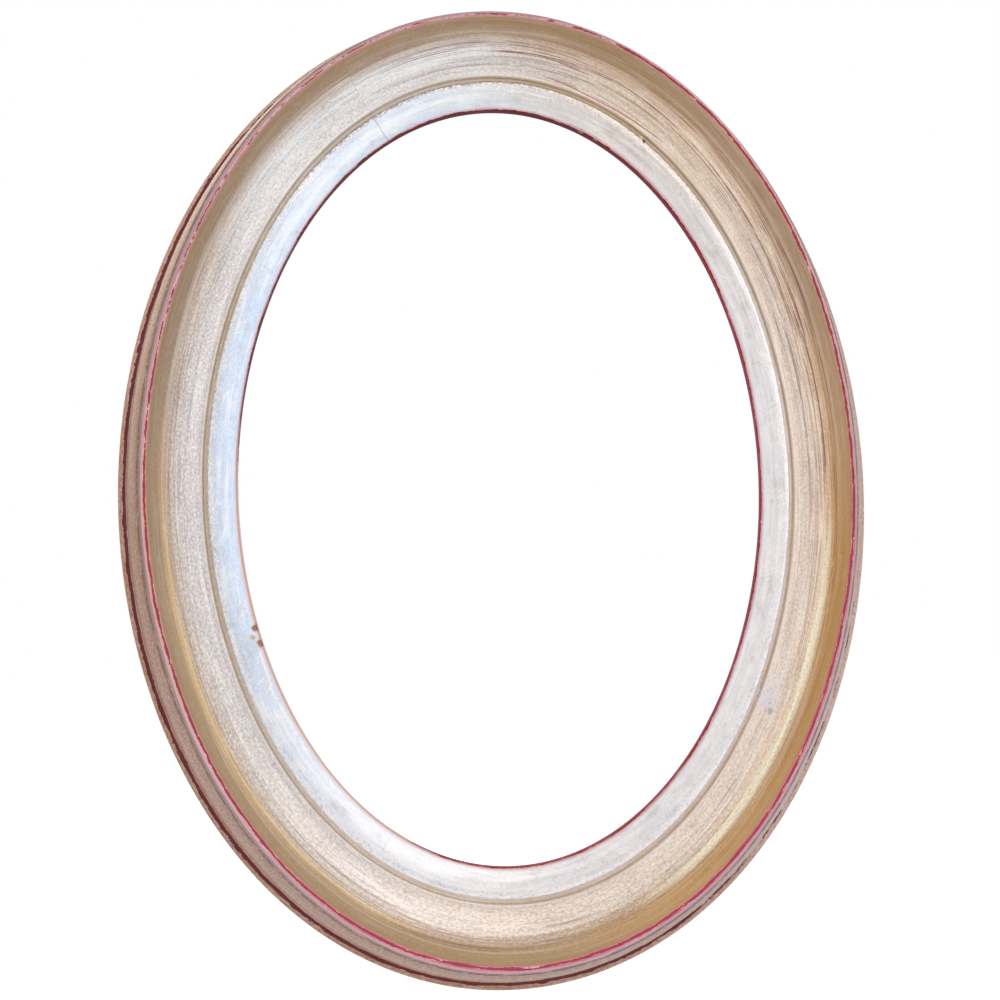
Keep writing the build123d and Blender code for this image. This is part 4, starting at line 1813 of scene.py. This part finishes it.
@dataclass
class MouldingBoard:
    """One board of the ring, from joint to joint, with its leafed face and its bare back.

    Each wave of the unevenness has its turns to a metre along and across, and its start.
    """

    board: Board
    oval: SightOval
    section: Section
    row_step: float = 0.0017
    joint_reach: float = 0.0006
    joint_depth: float = 0.00005
    joint_fade: float = 1.5
    unevenness: float = 0.00001
    waves: tuple = ((61, 190, 0.0), (143, -77, 1.7), (311, 420, 0.4))
    fine_rows: int = 4001

    def leafed(self) -> np.ndarray:
        """Which points of the section are leafed."""
        return np.array([member not in BARE_MEMBERS for member in self.section.member])

    def turns(self) -> np.ndarray:
        """Angles of the rows: even steps along the edge, and two more rows beside each joint.

        Returns:
            Rising angles from the top in radians.
        """
        first, last = (math.radians(angle) for angle in self.board.value[1:])
        fine = np.linspace(first, last, self.fine_rows)
        way = self.oval.travel(fine)
        count = round((way[-1] - way[0]) / self.row_step)
        ways = np.linspace(way[0], way[-1], count + 1)
        beside = np.array([self.joint_reach, 2 * self.joint_reach])
        ways = np.sort(np.concatenate([ways, way[0] + beside, way[-1] - beside]))
        return np.interp(ways, way, fine)

    def nearness(self, turn: np.ndarray) -> np.ndarray:
        """How near each row is to a joint: 1 on it, falling evenly to 0 a little way off.

        Args:
            turn: The rows' angles.

        Returns:
            The nearness of each row.
        """
        way = self.oval.travel(turn)
        ends = np.minimum(way - way[0], way[-1] - way)
        return np.clip(1 - ends / (self.joint_fade * self.joint_reach), 0, 1)

    def relief(self, turn: np.ndarray) -> np.ndarray:
        """Hand-worked unevenness in metres: slow waves along and across, and a fall at the joints.

        Args:
            turn: The rows' angles.

        Returns:
            How far each point stands proud, by row and column.
        """
        way = self.oval.travel(turn)[:, None]
        across = self.section.way[None, :]
        waves = sum(np.sin(way * a + across * b + start) for a, b, start in self.waves)
        fall = self.nearness(turn)[:, None]
        return (waves * self.unevenness - fall * self.joint_depth) * self.leafed()[None, :]

    def build(self, leaf: bpy.types.Material, bare: bpy.types.Material) -> bpy.types.Object:
        """Make the board's mesh and dress it.

        Each point is the section's own point, moved square to the section by the relief, and
        carried out and up from the oval.

        Args:
            leaf: The leafed face's material.
            bare: The back's material.

        Returns:
            The board's object.
        """
        turn = self.turns()
        out, up = self.section.out, self.section.up
        rise, run = np.roll(up, -1) - np.roll(up, 1), np.roll(out, -1) - np.roll(out, 1)
        size = np.maximum(np.hypot(run, rise), 1e-9)
        proud = self.relief(turn)
        out, up = out[None] - rise / size * proud, up[None] + run / size * proud
        points = self.oval.place(turn[:, None], out, up)
        rows, columns = points.shape[:2]
        faces = grid_faces(rows, columns, False, True)[:, ::-1].tolist()
        last_row = (rows - 1) * columns
        faces.append(list(range(columns)))
        faces.append(list(range(last_row, last_row + columns))[::-1])
        node = self.board.value[0]
        piece = add_mesh(node + "_leafed", points.reshape(-1, 3), faces)
        piece.data.materials.append(leaf)
        piece.data.materials.append(bare)
        slots = np.append(np.tile(~self.leafed(), rows - 1), [1, 1]).astype(np.int32)
        smooth = np.append(np.ones(len(slots) - 2, bool), [False, False])
        piece.data.polygons.foreach_set("material_index", slots)
        piece.data.polygons.foreach_set("use_smooth", smooth)
        piece.data.set_sharp_from_angle(angle=MOULDING_SHARP)
        self.lay_map(piece, turn, columns)
        near = np.repeat(self.nearness(turn), columns).astype(np.float32)
        piece.data.attributes.new("joint", "FLOAT", "POINT").data.foreach_set("value", near)
        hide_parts(node)
        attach(piece, "frame")
        return piece

    def lay_map(self, piece: bpy.types.Object, turn: np.ndarray, columns: int) -> None:
        """Give the board its UV map in metres: along the sight edge, and round the section.

        Args:
            piece: The board.
            turn: The rows' angles.
            columns: Points in a row.
        """
        corner = np.zeros(len(piece.data.loops), np.int32)
        piece.data.loops.foreach_get("vertex_index", corner)
        row, column = corner // columns, corner % columns
        across = self.section.way[column]
        quads = (len(turn) - 1) * columns
        seam = np.zeros(len(corner), bool)
        face_columns = column[: quads * 4].reshape(-1, 4)
        wraps = face_columns.max(axis=1) - face_columns.min(axis=1) > 1
        seam[: quads * 4] = (wraps[:, None] & (face_columns == 0)).reshape(-1)
        across = np.where(seam, self.section.length, across)
        uv = np.stack([self.oval.travel(turn)[row], across], axis=-1).astype(np.float32)
        piece.data.uv_layers.new(name="leaf").data.foreach_set("uv", uv.reshape(-1))


def matrix_of(right: np.ndarray, up: np.ndarray, back: np.ndarray, place: tuple) -> Matrix:
    """A matrix from three axes and a place."""
    columns = np.stack([right, up, back, np.array(place)], axis=1)
    return Matrix([*columns.tolist(), [0.0, 0.0, 0.0, 1.0]])


@dataclass(frozen=True)
class Lamp:
    """A large soft square lamp that points at the frame's middle, with its power in watts."""

    name: str
    place: tuple[float, float, float]
    power: float
    colour: tuple[float, float, float]
    size: float = 1.4

    def build(self) -> None:
        """Make the lamp and hang it in its place."""
        data = bpy.data.lights.new(self.name, "AREA")
        data.size = self.size
        data.energy = self.power
        data.color = self.colour
        lamp = bpy.data.objects.new(self.name, data)
        back = np.array(self.place) / np.linalg.norm(self.place)
        side = np.cross([0.0, 0.0, 1.0], back)
        side /= np.linalg.norm(side)
        lamp.matrix_world = matrix_of(side, np.cross(back, side), back, self.place)
        bpy.context.scene.collection.objects.link(lamp)


LAMPS = (
    Lamp("key", (0.7, -1.5, 0.9), 9.0, (1.0, 0.99, 0.98)),
    Lamp("fill", (-1.2, -1.2, 0.2), 2.0, (0.97, 0.98, 1.0)),
    Lamp("back", (-0.5, 1.5, 0.8), 9.0, (1.0, 0.99, 0.98)),
)


@dataclass(frozen=True)
class Studio:
    """Camera, lights and floor."""

    camera_place: tuple[float, float, float] = (-0.0626, -0.6597, -0.0932)
    yaw: float = 5.3
    pitch: float = 6.7
    roll: float = -1.2
    focal_pixels: float = 1000.0
    sensor: float = 36.0
    clip_start: float = 0.01
    floor_height: float = -0.42
    floor_reach: float = 6.0
    floor_tone: tuple = (0.8, 0.8, 0.8, 1.0)
    floor_glow: float = 0.64
    even_light: float = 0.50
    white_light: float = 1.0

    def axes(self) -> Matrix:
        """The camera's axes: turned right by the yaw, up by the pitch, then rolled.

        Returns:
            The camera's matrix.
        """
        yaw, pitch, roll = (math.radians(angle) for angle in (self.yaw, self.pitch, self.roll))
        ahead = math.cos(pitch)
        forward = np.array([math.sin(yaw) * ahead, math.cos(yaw) * ahead, math.sin(pitch)])
        level = np.array([math.cos(yaw), -math.sin(yaw), 0.0])
        upright = np.cross(level, forward)
        right = math.cos(roll) * level + math.sin(roll) * upright
        up = math.cos(roll) * upright - math.sin(roll) * level
        return matrix_of(right, up, -forward, self.camera_place)

    def build(self) -> None:
        """Make the camera, the floor, the lights and the world."""
        data = bpy.data.cameras.new("camera")
        data.sensor_width = self.sensor
        data.lens = self.sensor * self.focal_pixels / IMAGE_SIZE
        data.clip_start = self.clip_start
        camera = bpy.data.objects.new("camera", data)
        camera.matrix_world = self.axes()
        bpy.context.scene.collection.objects.link(camera)
        bpy.context.scene.camera = camera
        bpy.context.scene.view_settings.view_transform = "Standard"
        self.lay_floor()
        for lamp in LAMPS:
            lamp.build()
        self.light_world()

    def lay_floor(self) -> None:
        """A wide pale floor that keeps a soft shadow and is white where nothing shades it."""
        reach, low = self.floor_reach, self.floor_height
        sides = ((-reach, -reach), (reach, -reach), (reach, reach), (-reach, reach))
        floor = add_mesh("floor", np.array([[x, y, low] for x, y in sides]), [[0, 1, 2, 3]])
        graph = Graph("floor_white")
        path = graph.add("LightPath")
        seen = graph.math("MAXIMUM", path.outputs["Is Camera Ray"], path.outputs["Is Glossy Ray"])
        diffuse = graph.add("BsdfDiffuse")
        diffuse.inputs["Color"].default_value = self.floor_tone
        glow = graph.add("Emission")
        graph.put(glow.inputs["Strength"], graph.math("MULTIPLY", seen, self.floor_glow))
        both = graph.add("AddShader")
        graph.put(both.inputs[0], diffuse.outputs[0])
        graph.put(both.inputs[1], glow.outputs[0])
        graph.close("OutputMaterial", both)
        floor.data.materials.append(graph.owner)

    def light_world(self) -> None:
        """White all round for the camera and for reflections, and a dimmer even light."""
        graph = Graph("studio", world=True)
        path = graph.add("LightPath")
        seen = graph.math("MAXIMUM", path.outputs["Is Camera Ray"], path.outputs["Is Transmission Ray"])
        choice = graph.add("MixShader")
        graph.put(choice.inputs[0], graph.math("MAXIMUM", seen, path.outputs["Is Glossy Ray"]))
        for socket, strength in zip(choice.inputs[1:], (self.even_light, self.white_light)):
            light = graph.add("Background")
            light.inputs["Color"].default_value = WHITE
            light.inputs["Strength"].default_value = strength
            graph.put(socket, light.outputs[0])
        graph.close("OutputWorld", choice)
        bpy.context.scene.world = graph.owner


def dress_tongues() -> None:
    """Give the tongues, which lie closed in the boards' joints, their own wood."""
    beech = BareWoodFinish(pale=linear(214, 180, 138), dark=linear(184, 146, 104))
    tongue = beech.material("tongue_wood", True)
    for name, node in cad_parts.items():
        if name.startswith("joint_tongue"):
            node.data.materials.clear()
            node.data.materials.append(tongue)


def main() -> None:
    """Build the frame's visible pieces in order and report each one."""
    logging.basicConfig(level=logging.INFO, format="%(message)s")
    Studio().build()
    oval = SightOval()
    section = MouldingSection().sampled()
    log.info("section of %d points, %.1f mm round", len(section.out), section.length / MILLIMETRE)
    leaf = LeafFinish(oval, section).material()
    lying = BareWoodFinish().material("bare_wood_lying", True, section)
    upright = BareWoodFinish().material("bare_wood_upright", False, section)
    for board in Board:
        bare = lying if board in (Board.TOP, Board.BOTTOM) else upright
        piece = MouldingBoard(board, oval, section).build(leaf, bare)
        log.info("%s: %d faces", piece.name, len(piece.data.polygons))
    for piece in BackHardware(oval).build():
        log.info("%s: %d faces", piece.name, len(piece.data.polygons))
    dress_tongues()


if __name__ == "__main__":
    main()
